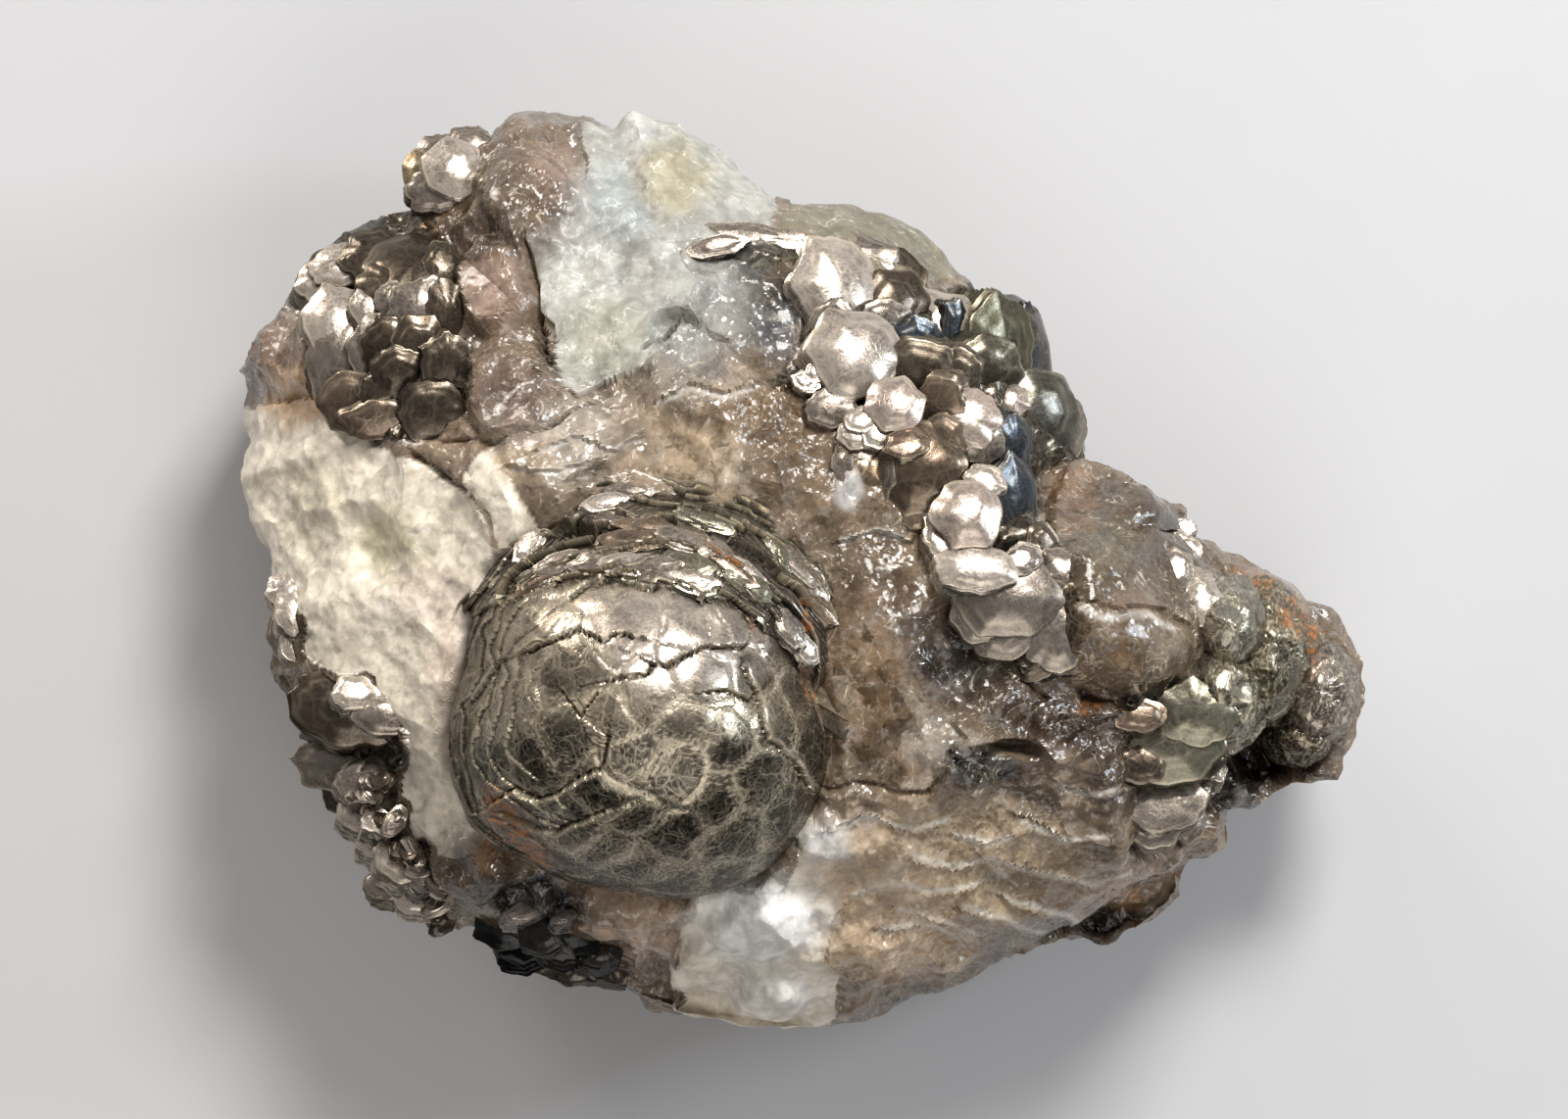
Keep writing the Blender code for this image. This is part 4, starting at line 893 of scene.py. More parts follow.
def main_ball():
    """The large ball: overlapping curved plates, cracked and pale along their edges."""
    centre = np.array(BALL_CENTRE)
    radius = np.mean([reach for _, reach in BALL_REACH])

    def reach_of(angle):
        return by_direction(BALL_REACH, angle)

    points, faces = dome_points(BALL_CENTRE, reach_of, BALL_HEIGHT, BALL_RINGS, BALL_SWEEP)
    facing = normals(points, faces)
    shown = np.array(BALL_PLATES)
    across = (shown[:, :2] - centre[:2]) / radius
    rise = np.sqrt(np.maximum(1 - np.sum(across**2, axis=1), 0.02))
    middles = np.column_stack([shown[:, :2], centre[2] + BALL_HEIGHT * rise])
    step = np.arange(SPARE_PLATES)
    level = 1 - 2 * (step + 0.5) / len(step)
    spin = step * math.pi * (3 - math.sqrt(5))
    round_it = np.column_stack([
        np.sqrt(1 - level**2) * np.cos(spin), np.sqrt(1 - level**2) * np.sin(spin), level,
    ]) * (radius, radius, BALL_HEIGHT) + centre
    apart = np.linalg.norm(round_it[:, None] - middles[None], axis=-1).min(axis=1)
    spare = round_it[apart > PLATE_GAP]
    middles = np.concatenate([middles, spare])
    darkness = np.concatenate([shown[:, 2], np.full(len(spare), 0.6)])

    relief, edge, owner = plate_relief(points, middles, PLATE_SIZE, 201)
    line = line_net(points, edge, 211)
    # Dark plate middles: partly the mica's own dark, partly painted shade on the lower half
    dark = darkness[owner] * smooth(0.06, 0.45, edge) * (0.88 + 0.35 * fractal(points, 2.0, 221, 3))
    share = ball_share(points)
    turn = np.degrees(np.arctan2(points[:, 1] - centre[1], points[:, 0] - centre[0])) % 360
    left = smooth(112, 140, turn) * smooth(252, 225, turn) * smooth(0.52, 0.66, share)
    band = share * 11.0 + fractal(points, 6.0, 231, 3) * 1.6
    saw = band % 1.0
    relief = relief * (1 - 0.6 * left) + left * 0.26 * (0.5 - saw)
    line = np.maximum(line * (1 - 0.5 * left), left * 0.8 * smooth(0.16, 0.02, saw))
    # Painted shade at the low foot of each band's step
    dark = np.maximum(dark * (1 - 0.4 * left), left * 0.7 * smooth(0.2, 0.9, saw))
    up = smooth(0.0, 0.3, facing[:, 2])
    place = warped(points, 1.4, 0.28, 241)
    for height, crack in BALL_CRACKS:
        gap, side = line_gap(place, crack)
        above = side * math.copysign(1.0, height) > 0
        size = abs(height)
        lip = np.where(above, size * 0.7 * np.exp(-gap / 3.4), -size * 0.5 * np.exp(-gap / 2.2))
        relief += up * (lip - 0.45 * np.exp(-((gap / 0.14) ** 2)))
        # Painted shade: a dark line along each crack
        dark = np.maximum(dark, up * np.exp(-((gap / 0.16) ** 2)))
        line = np.maximum(line, up * np.where(above, 0.8 * np.exp(-(((gap - 0.25) / 0.2) ** 2)), 0))
    relief += fractal(points, 0.9, 251, 3) * 0.018 + fractal(points, 7.0, 261, 2) * 0.30
    rust = up * stained(warped(points, 1.6, 0.6, 271), BALL_STAINS, 0.2)
    # Painted shade: the ball's rim and lower half get darker colour and dark plate middles, as on a
    # side turned from the light
    rim = smooth(0.70, 0.98, share) * smooth(4.0, -8.0, points[:, 1])
    level = points[:, 1] + 1.2 * fractal(points, 5.0, 287, 2)
    lower = np.maximum(smooth(-11.0, -18.5, level), rim)
    border = 0.85 * smooth(0.07, 0.02, edge) * smooth(-0.25, 0.25, fractal(points, 4.0, 285, 2))
    line = np.maximum(line, border * (1 - 0.7 * left))
    tone = np.array(MICA_TONE) * (1 + 0.18 * fractal(points, 3.0, 281, 3) - 0.56 * lower)[:, None]
    dark = np.maximum(dark, 0.95 * lower * smooth(0.08, 0.42, edge))
    dark = np.maximum(dark, 0.6 * rim)
    line = line * (1 - 0.25 * rim)
    points = points + facing * relief[:, None]
    # Painted highlight: the colour turns brighter silver, with fewer pale lines, where the key
    # light's reflection falls
    middle = oval(warped(points, 4.0, 2.0, 291), *BALL_PAINTED_HIGHLIGHT)
    painted_highlight = smooth(1.25, 0.55, middle)
    net = np.clip((0.95 - 0.80 * painted_highlight) * (1 - 0.35 * dark), 0.12, 1.0)
    tone = tone + (np.array(SILVER) * 1.15 - tone) * (0.75 * painted_highlight)[:, None]
    tone = np.concatenate([tone, net[:, None]], axis=1)
    marks = np.stack([line * (1 - 0.45 * painted_highlight), rust, np.clip(dark, 0, 1)], axis=1)
    return closed_below(points, faces, tone, marks, BALL_RINGS, BALL_RINGS, 6.0)


def ledge_place(turn, share):
    """A point of the ledge: its direction from the ball's centre, and how far across the ledge."""
    turns, inner, outer = np.array(LEDGE).T
    low = np.interp(turn, turns, inner)
    high = np.interp(turn, turns, outer)
    way = np.stack([np.cos(np.radians(turn)), np.sin(np.radians(turn))], axis=-1)
    centre = np.array(BALL_CENTRE)
    start = ball_share(centre[:2] + way * low[..., None])
    foot = centre[2] + BALL_HEIGHT * np.sqrt(np.maximum(1 - start**2, 0.0))
    edge = front_height(centre[:2] + way * high[..., None]) - 1.2
    away = low + (high - low) * share
    height = foot + (edge - foot) * share**1.25 + 0.3 - 1.3 * smooth(0.1, 0.0, share)
    return np.concatenate([centre[:2] + way * away[..., None], height[..., None]], axis=-1), away


def ledge_bed():
    """The stacked broken sheets that lap the upper edge of the main ball, like shingles."""
    columns = np.linspace(LEDGE[0][0], LEDGE[-1][0], LEDGE_COLUMNS)
    turn, share = (part.ravel() for part in np.meshgrid(columns, np.linspace(0, 1, LEDGE_ROWS)))
    points, away = ledge_place(turn, share)
    faces = grid_faces(LEDGE_ROWS, LEDGE_COLUMNS)[:, ::-1]
    facing = normals(points, faces)
    along = np.radians(turn) * 18.0
    flat = np.stack([along, away], axis=-1)
    base = away / COURSE_WIDTH + fractal(flat, 8.0, 301, 3) * 1.1
    course = np.floor(base)
    shift = 7.3 * hashed(course[:, None], 5) + fractal(flat, 3.0, 306, 2) * 0.3
    column = np.floor(along / SHEET_LENGTH + shift)
    base = base + 0.6 * (hashed(np.stack([column, course], -1), 6) - 0.5)
    row = np.floor(base)
    part = base - row
    random = hashed(np.stack([row, column], -1), 7)
    fine = (away / SHEET_STEP + fractal(flat, 5.0, 311, 3) * 3.4) % 1.0
    relief = (0.6 + 0.7 * random) * (0.5 - part) + 0.7 * (random - 0.5) + 0.10 * (0.5 - fine)
    relief += fractal(points, 4.0, 321, 2) * 0.5
    line = np.maximum(smooth(0.16, 0.02, part), 0.45 * smooth(0.3, 0.0, fine))
    # Painted shade at the low foot of each course's step; some sheets are darker at random
    dark = np.maximum(0.95 * smooth(0.72, 0.98, part), 0.45 * (random < 0.3))
    # Painted shade: the hollow between the sheets is darkened in colour as well as sunk
    gap = smooth(1.15, 0.5, oval(warped(points, 2.0, 0.5, 326), *LEDGE_SHADED_HOLLOW))
    relief -= 2.2 * gap
    dark = np.maximum(dark, gap)
    rust = 0.9 * smooth(1.3, 0.2, oval(warped(points, 2.0, 1.0, 331), *LEDGE_STAIN))
    rust = np.maximum(rust, smooth(1.3, 0.3, oval(points, *LEDGE_END_STAIN)))
    green = smooth(0.2, 0.8, hashed(np.stack([column, row], -1), 8))[:, None]
    tone = np.array(GREY_MICA) * (1 - green) + np.array(GREEN_MICA) * green
    tone = tone * (0.60 + 0.45 * random)[:, None]
    tone = np.concatenate([tone, np.full((len(points), 1), 0.3)], axis=1)
    points = points + facing * relief[:, None]
    marks = np.stack([line * (1 - gap), rust, np.clip(dark, 0, 1)], axis=1)
    return closed_below(points, faces, tone, marks, LEDGE_ROWS, LEDGE_COLUMNS, 8.0)


def lobe(centre, radii, rings, size, seed, tone, stains, darkness):
    """A small ball of curved plates."""
    def reach_of(angle):
        return radii[0] * radii[1] / np.hypot(radii[1] * np.cos(angle), radii[0] * np.sin(angle))

    points, faces = dome_points(centre, reach_of, radii[2], rings, LOBE_SWEEP)
    facing = normals(points, faces)
    random = np.random.default_rng(seed)
    spread = random.normal(size=(int(14 * radii[0] * radii[1] / size**2) + 8, 3))
    spread /= np.linalg.norm(spread, axis=1, keepdims=True)
    middles = spread * radii + centre
    relief, edge, owner = plate_relief(points, middles, size, seed)
    shift = random.uniform(0.2, 1.0, len(middles))
    line = line_net(points, edge, seed + 1)
    dark = np.clip(darkness * shift[owner] * smooth(0.1, 0.6, edge), 0, 1)
    relief = relief * size / PLATE_SIZE * 2.4 + fractal(points, 1.0, seed + 2, 3) * 0.03
    relief += fractal(points, 3.0, seed + 3, 2) * 0.30
    relief += facets(points, 2.2, 0.5, 0.62, seed + 6) * 0.45
    rust = stained(warped(points, 1.6, 0.6, seed + 4), stains, 0.2)
    shade = 1 + 0.2 * fractal(points, 2.5, seed + 5, 3)
    colour = np.concatenate([np.array(tone) * shade[:, None], np.full((len(points), 1), 0.6)], 1)
    points = points + facing * relief[:, None]
    return closed_below(points, faces, colour, np.stack([line, rust, dark], 1), rings, rings, 3.0)


SILVER = tint(190, 178, 168)
PINK_SILVER = tint(196, 178, 168)
GREY_MICA = tint(138, 128, 120)
BROWN_MICA = tint(122, 104, 90)
DARK_MICA = tint(82, 72, 62)
BLUE_MICA = tint(66, 70, 76)
GREEN_MICA = tint(116, 112, 98)
GOLD_MICA = tint(146, 126, 96)
# The foot's own dark mica, made near black as painted shade of the shadowed underside
BLACK_MICA_IN_SHADE = tint(22, 22, 22)
COAL_MICA_IN_SHADE = tint(46, 43, 40)
END_MICA = tint(142, 138, 126)

# Books of curved plates: x, y, half sizes, turn, lean in x and y, rise over the rock, crown,
# and the colour
RIDGE_BOOKS = [
    (4.3, 29.3, 3.7, 4.4, 10, 0.35, 0.30, 2.6, 1.5, SILVER),
    (5.9, 22.7, 3.9, 3.8, 0, 0.22, 0.32, 3.4, 1.5, SILVER),
    (9.6, 17.3, 2.4, 2.4, 0, 0.05, 0.34, 3.8, 0.9, PINK_SILVER),
    (6.3, 15.6, 1.5, 1.1, 20, 0.10, 0.40, 2.2, 0.2, SILVER),
    (7.9, 14.2, 1.4, 1.3, 50, 0.20, 0.30, 2.0, 0.2, SILVER),
    (5.4, 14.0, 1.4, 1.2, -20, 0.05, 0.25, 1.6, 0.2, SILVER),
    (17.1, 15.7, 2.7, 2.6, 0, 0.12, 0.26, 4.0, 0.9, PINK_SILVER),
    (21.6, 17.6, 1.5, 1.5, 0, 0.12, 0.30, 3.8, 0.6, PINK_SILVER),
    (14.7, 26.0, 2.9, 2.6, 0, 0.16, 0.34, 2.8, 1.0, SILVER),
    (17.9, 26.5, 0.8, 0.8, 0, 0.10, 0.34, 2.8, 0.2, GOLD_MICA),
    (12.2, 10.6, 3.5, 3.9, 15, 0.02, 0.08, 3.0, 1.5, tint(104, 88, 74)),
    (10.8, 13.2, 1.9, 1.4, 10, 0.10, 0.50, 3.4, 0.4, BROWN_MICA),
    (18.7, 9.3, 1.8, 1.4, -20, 0.10, 0.34, 4.0, 0.4, SILVER),
    (17.1, 6.1, 2.9, 2.9, 0, 0.12, 0.30, 4.8, 1.1, PINK_SILVER),
    (14.8, 3.5, 1.8, 2.3, 30, 0.14, 0.36, 2.8, 0.3, SILVER),
    (17.9, 0.7, 3.3, 2.1, -5, 0.12, 0.34, 4.2, 0.8, SILVER),
    (22.6, 1.4, 1.8, 1.3, 30, 0.20, 0.40, 2.8, 0.2, GREY_MICA),
    (21.1, -2.5, 4.3, 3.3, 5, 0.05, 0.12, 2.8, 1.3, GREY_MICA),
    (26.5, -0.6, 2.5, 2.6, 0, 0.10, 0.16, 2.2, 0.8, GREY_MICA),
    (28.9, -1.8, 2.0, 2.4, -20, 0.45, 0.05, 1.4, 0.3, GREY_MICA),
    (20.4, -6.2, 2.8, 2.3, 0, -0.05, 0.10, 1.6, 0.6, GREY_MICA),
    (25.9, -6.3, 2.6, 3.1, 0, 0.05, 0.05, 1.8, 0.6, GREY_MICA),
    (23.2, -9.0, 2.2, 1.8, 0, -0.10, 0.00, 0.8, 0.4, DARK_MICA),
    (8.2, 10.4, 1.3, 2.9, 0, -1.10, 0.05, 1.2, 0.2, GREY_MICA),
    (5.8, 11.6, 2.3, 2.0, 20, 0.00, 0.30, 0.9, 0.4, GREY_MICA),
    (6.8, 8.6, 1.8, 1.6, 0, 0.00, 0.20, 0.6, 0.3, GREY_MICA),
    (12.3, 23.4, 2.4, 2.0, -20, 0.55, -0.20, 2.4, 0.4, BLUE_MICA),
    (16.3, 24.2, 1.5, 2.8, 10, 0.80, -0.10, 2.2, 0.4, BLUE_MICA),
    (10.2, 28.0, 2.8, 2.6, 20, 0.40, 0.25, 1.9, 0.8, DARK_MICA),
    (22.0, 12.6, 2.0, 2.8, 0, 0.80, -0.10, 2.6, 0.5, BLUE_MICA),
    (22.4, 7.4, 2.1, 3.4, 10, 0.80, 0.00, 2.2, 0.5, BLUE_MICA),
    (21.1, 23.0, 3.4, 4.2, 0, 0.75, 0.00, 2.2, 0.9, tint(84, 80, 64)),
    (24.0, 22.4, 1.6, 4.0, 0, 1.20, 0.15, 1.0, 0.3, BLUE_MICA),
    (25.2, 16.2, 3.4, 3.6, 0, 0.50, 0.05, 2.8, 1.1, tint(96, 93, 86)),
    (28.0, 14.6, 2.0, 2.6, 0, 0.90, -0.05, 1.8, 0.5, GREY_MICA),
    (19.5, 20.8, 3.2, 2.6, 10, 0.45, -0.10, 2.6, 0.9, tint(92, 86, 74)),
    (12.5, 19.8, 3.6, 2.8, -15, 0.10, -0.18, 2.5, 0.8, tint(92, 82, 72)),
    (14.0, 16.8, 2.0, 2.4, 0, -0.25, -0.20, 2.6, 0.5, BROWN_MICA),
    (4.4, 33.2, 4.6, 1.9, -12, 0.05, 0.50, 0.6, 0.4, GREY_MICA),
    (9.6, 31.4, 3.2, 1.8, -25, 0.15, 0.50, 0.8, 0.4, DARK_MICA),
    (-5.0, 34.3, 4.8, 1.3, -6, 0.05, 0.40, 0.7, 0.2, GREY_MICA),
    (-0.4, 33.6, 3.6, 1.2, -10, 0.00, 0.45, 0.5, 0.2, GREEN_MICA),
    (-8.6, 33.4, 2.6, 0.9, 10, 0.05, 0.30, 0.5, 0.1, GREY_MICA),
    (15.9, 20.4, 2.1, 1.8, 0, -0.05, -0.10, 3.0, 0.5, tint(98, 88, 78)),
    (18.6, 12.8, 2.0, 1.6, 0, 0.30, -0.10, 3.0, 0.4, GREY_MICA),
    (14.4, 13.4, 1.8, 2.0, 0, -0.10, -0.10, 2.6, 0.4, BROWN_MICA),
    (1.9, 20.5, 1.4, 0.9, 30, 0.10, 0.36, 1.4, 0.1, SILVER),
    (0.6, 19.4, 1.2, 0.9, -20, 0.10, 0.36, 1.0, 0.1, SILVER),
    (3.0, 25.9, 1.8, 1.4, 40, -0.10, 0.10, 2.0, 0.2, GREY_MICA),
    (8.8, 25.6, 2.2, 1.7, 10, 0.30, 0.05, 2.9, 0.4, GREY_MICA),
    (18.2, -4.4, 2.3, 2.4, 10, 0.04, 0.10, 1.8, 0.5, GREY_MICA),
    (3.2, 16.8, 2.2, 1.6, 10, 0.10, 0.20, 0.8, 0.3, GREY_MICA),
    (24.8, 2.6, 1.5, 2.0, 0, 0.50, 0.10, 1.8, 0.3, DARK_MICA),
    (12.4, 6.2, 2.2, 1.5, 10, 0.00, 0.20, 1.4, 0.3, BROWN_MICA),
]
CORNER_BOOKS = [
    (-47.3, 25.8, 2.8, 3.4, 10, 0.12, 0.32, 4.2, 1.2, SILVER),
    (-44.3, 27.4, 1.5, 1.7, 0, 0.12, 0.34, 4.4, 0.5, SILVER),
    (-43.2, 25.0, 1.5, 1.4, 0, 0.14, 0.30, 4.0, 0.5, SILVER),
    (-49.0, 30.4, 2.4, 1.9, 30, 0.10, 0.34, 2.8, 0.7, SILVER),
    (-47.3, 31.8, 2.6, 1.8, 20, 0.05, 0.40, 2.8, 0.6, SILVER),
    (-39.3, 32.0, 4.3, 3.6, 0, 0.00, 0.75, 2.8, 1.3, DARK_MICA),
    (-44.0, 33.0, 2.8, 2.2, 20, 0.00, 0.50, 2.2, 0.6, DARK_MICA),
    (-37.6, 29.1, 1.1, 1.0, 20, 0.12, 0.34, 3.4, 0.1, SILVER),
    (-41.9, 30.0, 2.9, 2.4, 0, 0.00, 0.55, 3.6, 0.8, DARK_MICA),
    (-39.3, 27.0, 2.4, 2.4, 0, 0.05, 0.15, 3.8, 0.8, GREY_MICA),
    (-41.9, 22.6, 2.5, 2.7, 0, 0.00, -0.20, 3.2, 0.8, DARK_MICA),
    (-40.7, 19.8, 2.4, 2.4, 20, 0.10, -0.20, 2.6, 0.6, DARK_MICA),
    (-35.9, 20.9, 2.2, 2.7, 0, 0.20, -0.10, 2.0, 0.5, DARK_MICA),
    (-42.7, 15.4, 3.3, 1.7, 5, 0.00, -0.25, 1.2, 0.4, BROWN_MICA),
    (-37.3, 16.1, 3.0, 2.5, 0, 0.10, -0.10, 1.4, 0.5, DARK_MICA),
    (-47.7, 21.6, 2.5, 3.4, 0, -0.10, 0.05, 2.8, 0.9, GREY_MICA),
    (-46.2, 17.3, 2.6, 2.6, 0, -0.10, -0.10, 1.8, 0.7, BROWN_MICA),
    (-44.2, 22.6, 1.8, 2.2, 0, 0.05, 0.10, 3.2, 0.5, GREY_MICA),
    (-38.7, 23.6, 2.4, 2.2, 0, 0.10, 0.00, 3.0, 0.6, DARK_MICA),
    (-35.9, 26.3, 1.8, 3.0, 0, 0.25, 0.05, 2.0, 0.6, DARK_MICA),
    (-50.0, 28.0, 1.6, 2.2, 0, -0.20, 0.20, 1.8, 0.4, GREY_MICA),
    (-41.6, 28.0, 1.6, 1.5, 0, 0.10, 0.20, 3.6, 0.4, GREY_MICA),
    (-43.0, 18.6, 1.8, 1.6, 0, 0.00, 0.00, 2.6, 0.4, DARK_MICA),
    (-36.4, 31.6, 1.8, 2.2, 0, 0.25, 0.40, 1.8, 0.4, DARK_MICA),
    (-49.2, 19.6, 1.5, 2.2, 10, -0.25, 0.00, 1.4, 0.4, BROWN_MICA),
]
KNOB_BOOKS = [
    (-35.6, 41.8, 2.5, 2.6, 0, 0.10, 0.34, 3.0, 0.9, SILVER),
    (-39.0, 41.0, 1.6, 2.2, 20, -0.10, 0.30, 1.8, 0.4, GOLD_MICA),
    (-37.4, 39.4, 2.6, 2.0, 10, 0.00, 0.15, 1.8, 0.5, GREY_MICA),
    (-33.9, 44.0, 2.0, 1.8, 0, 0.05, 0.40, 1.4, 0.4, GREY_MICA),
    (-37.8, 43.6, 2.0, 1.4, 30, -0.10, 0.50, 1.2, 0.3, GREY_MICA),
]
FLAKE_BOOKS = [
    (-52.2, -4.0, 1.5, 2.0, 10, 0.05, 0.34, 1.8, 0.4, SILVER),
    (-53.2, -1.8, 1.4, 1.6, 30, -0.10, 0.40, 1.2, 0.3, SILVER),
    (-53.6, -6.2, 1.3, 1.9, 0, -0.30, 0.20, 1.0, 0.3, GREY_MICA),
    (-51.8, -7.4, 1.4, 1.5, 20, 0.10, 0.30, 1.2, 0.2, SILVER),
]
SIDE_BOOKS = [
    (-46.6, -13.9, 4.4, 3.3, -15, 0.00, 0.10, 1.8, 1.0, DARK_MICA),
    (-45.6, -12.3, 1.9, 1.5, 0, 0.12, 0.34, 2.6, 0.3, SILVER),
    (-50.0, -12.9, 2.1, 3.0, 15, -0.35, 0.15, 1.8, 0.6, DARK_MICA),
    (-42.9, -14.7, 2.4, 1.6, -10, 0.05, 0.10, 1.6, 0.5, GREY_MICA),
    (-48.0, -20.1, 3.6, 2.1, -10, -0.10, 0.00, 1.4, 0.5, GREY_MICA),
    (-44.8, -21.4, 2.4, 1.9, 10, 0.10, 0.10, 1.4, 0.4, GREY_MICA),
    (-45.0, -24.6, 2.2, 1.8, 0, 0.05, 0.30, 1.2, 0.3, SILVER),
    (-43.0, -25.0, 1.9, 1.4, 20, 0.10, 0.34, 1.6, 0.2, SILVER),
    (-43.6, -27.6, 1.8, 1.6, -30, 0.00, 0.40, 1.0, 0.2, SILVER),
    (-40.6, -29.4, 2.4, 2.2, 0, 0.10, 0.30, 1.6, 0.3, SILVER),
    (-42.4, -31.8, 2.2, 1.6, 20, -0.10, 0.30, 0.8, 0.2, GREY_MICA),
    (-39.4, -33.4, 2.2, 1.6, -10, 0.00, 0.20, 0.8, 0.2, SILVER),
    (-38.6, -31.0, 1.6, 1.6, 0, 0.15, 0.30, 1.2, 0.2, GREY_MICA),
    (-45.9, -22.4, 2.0, 1.3, -20, -0.10, 0.20, 1.6, 0.2, GREY_MICA),
    (-47.8, -22.6, 1.6, 2.0, 10, -0.40, 0.10, 0.8, 0.2, DARK_MICA),
]
# The foot's near-black books: its own dark mica, partly painted shade under the front's lower edge
FOOT_BOOKS = [
    (-28.2, -38.7, 2.6, 1.9, 10, -0.22, -0.35, 2.2, 0.6, BLACK_MICA_IN_SHADE),
    (-24.7, -39.2, 2.4, 1.9, -15, 0.12, -0.30, 1.8, 0.5, COAL_MICA_IN_SHADE),
    (-26.2, -36.8, 2.5, 1.8, 20, -0.10, 0.14, 2.4, 0.5, COAL_MICA_IN_SHADE),
    (-22.6, -37.5, 2.1, 1.6, 0, 0.26, -0.10, 2.0, 0.5, BLACK_MICA_IN_SHADE),
    (-30.4, -36.6, 2.6, 2.0, 10, -0.10, -0.10, 1.8, 0.4, BLACK_MICA_IN_SHADE),
    (-20.3, -39.0, 1.8, 1.2, 15, 0.10, 0.30, 1.4, 0.4, COAL_MICA_IN_SHADE),
    (-24.2, -35.4, 1.1, 0.6, 15, 0.10, 0.34, 2.2, 0.1, GREY_MICA),
    (-28.2, -34.9, 1.8, 0.8, 10, 0.12, 0.34, 2.0, 0.1, SILVER),
    (-22.0, -40.0, 1.8, 1.5, 0, 0.10, -0.20, 1.2, 0.4, BLACK_MICA_IN_SHADE),
    (-28.8, -40.4, 2.2, 1.4, 0, 0.00, -0.50, 1.6, 0.3, BLACK_MICA_IN_SHADE),
]
RIGHT_BOOKS = [
    (37.3, -17.4, 4.8, 3.3, -10, 0.10, 0.05, 2.2, 0.8, GREEN_MICA),
    (40.6, -19.2, 2.4, 1.8, 0, 0.20, 0.00, 2.2, 0.3, DARK_MICA),
    (37.2, -23.6, 3.5, 2.3, 5, 0.10, 0.20, 1.8, 0.3, GREY_MICA),
    (36.0, -26.2, 2.4, 1.7, -10, 0.05, 0.10, 1.2, 0.3, GREY_MICA),
    (39.6, -25.4, 1.8, 2.0, 10, 0.20, 0.10, 1.2, 0.2, GREY_MICA),
    (42.4, -20.0, 0.9, 1.4, 30, 0.12, 0.34, 2.2, 0.1, SILVER),
    (41.2, -22.2, 0.8, 1.1, -20, 0.12, 0.34, 1.6, 0.1, SILVER),
    (34.6, -14.6, 2.2, 1.4, 0, 0.10, 0.20, 1.4, 0.2, BROWN_MICA),
    (34.8, -19.8, 2.0, 1.6, 0, 0.10, 0.10, 1.4, 0.3, DARK_MICA),
]
END_BOOKS = [
    (41.0, -2.5, 1.7, 2.6, 5, 0.10, 0.34, 4.4, 0.7, SILVER),
    (38.2, 3.4, 1.3, 1.1, 0, 0.12, 0.36, 2.6, 0.2, SILVER),
    (39.6, 4.4, 1.0, 0.9, 20, 0.12, 0.36, 1.8, 0.1, SILVER),
    (39.8, 2.2, 1.2, 1.3, 0, 0.16, 0.30, 2.4, 0.2, SILVER),
    (40.2, -14.6, 3.4, 2.6, -10, 0.05, 0.00, 3.4, 0.7, GREEN_MICA),
    (38.2, 0.2, 1.6, 2.0, 0, 0.05, 0.30, 2.8, 0.3, GREY_MICA),
    (41.6, -17.6, 2.4, 1.6, 10, 0.10, -0.30, 3.0, 0.3, DARK_MICA),
]
LEDGE_FLAKES = 32
LEDGE_FLAKE_TONES = (GREY_MICA, GREEN_MICA, GREY_MICA, BROWN_MICA, SILVER)
CRUMPLED_FLAKES = 30
CRUMPLED_TONES = (SILVER, GREY_MICA, DARK_MICA)
CRUMPLED_SIDES = 16
BOOK_SIDES = 40
TOP_RINGS = (0.10, 0.20, 0.30, 0.40, 0.50, 0.60, 0.70, 0.78, 0.86, 0.92, 0.97, 1.0)
BOOK_LAYERS = 7
BOOK_GROWTH = 1.28


def waves_round(random, angle, height, counts):
    """Random waves round an outline, up to this height, with so many crests each."""
    return sum(
        random.uniform(-height, height) * np.cos(k * angle + random.uniform(0, 6.3)) for k in counts
    )


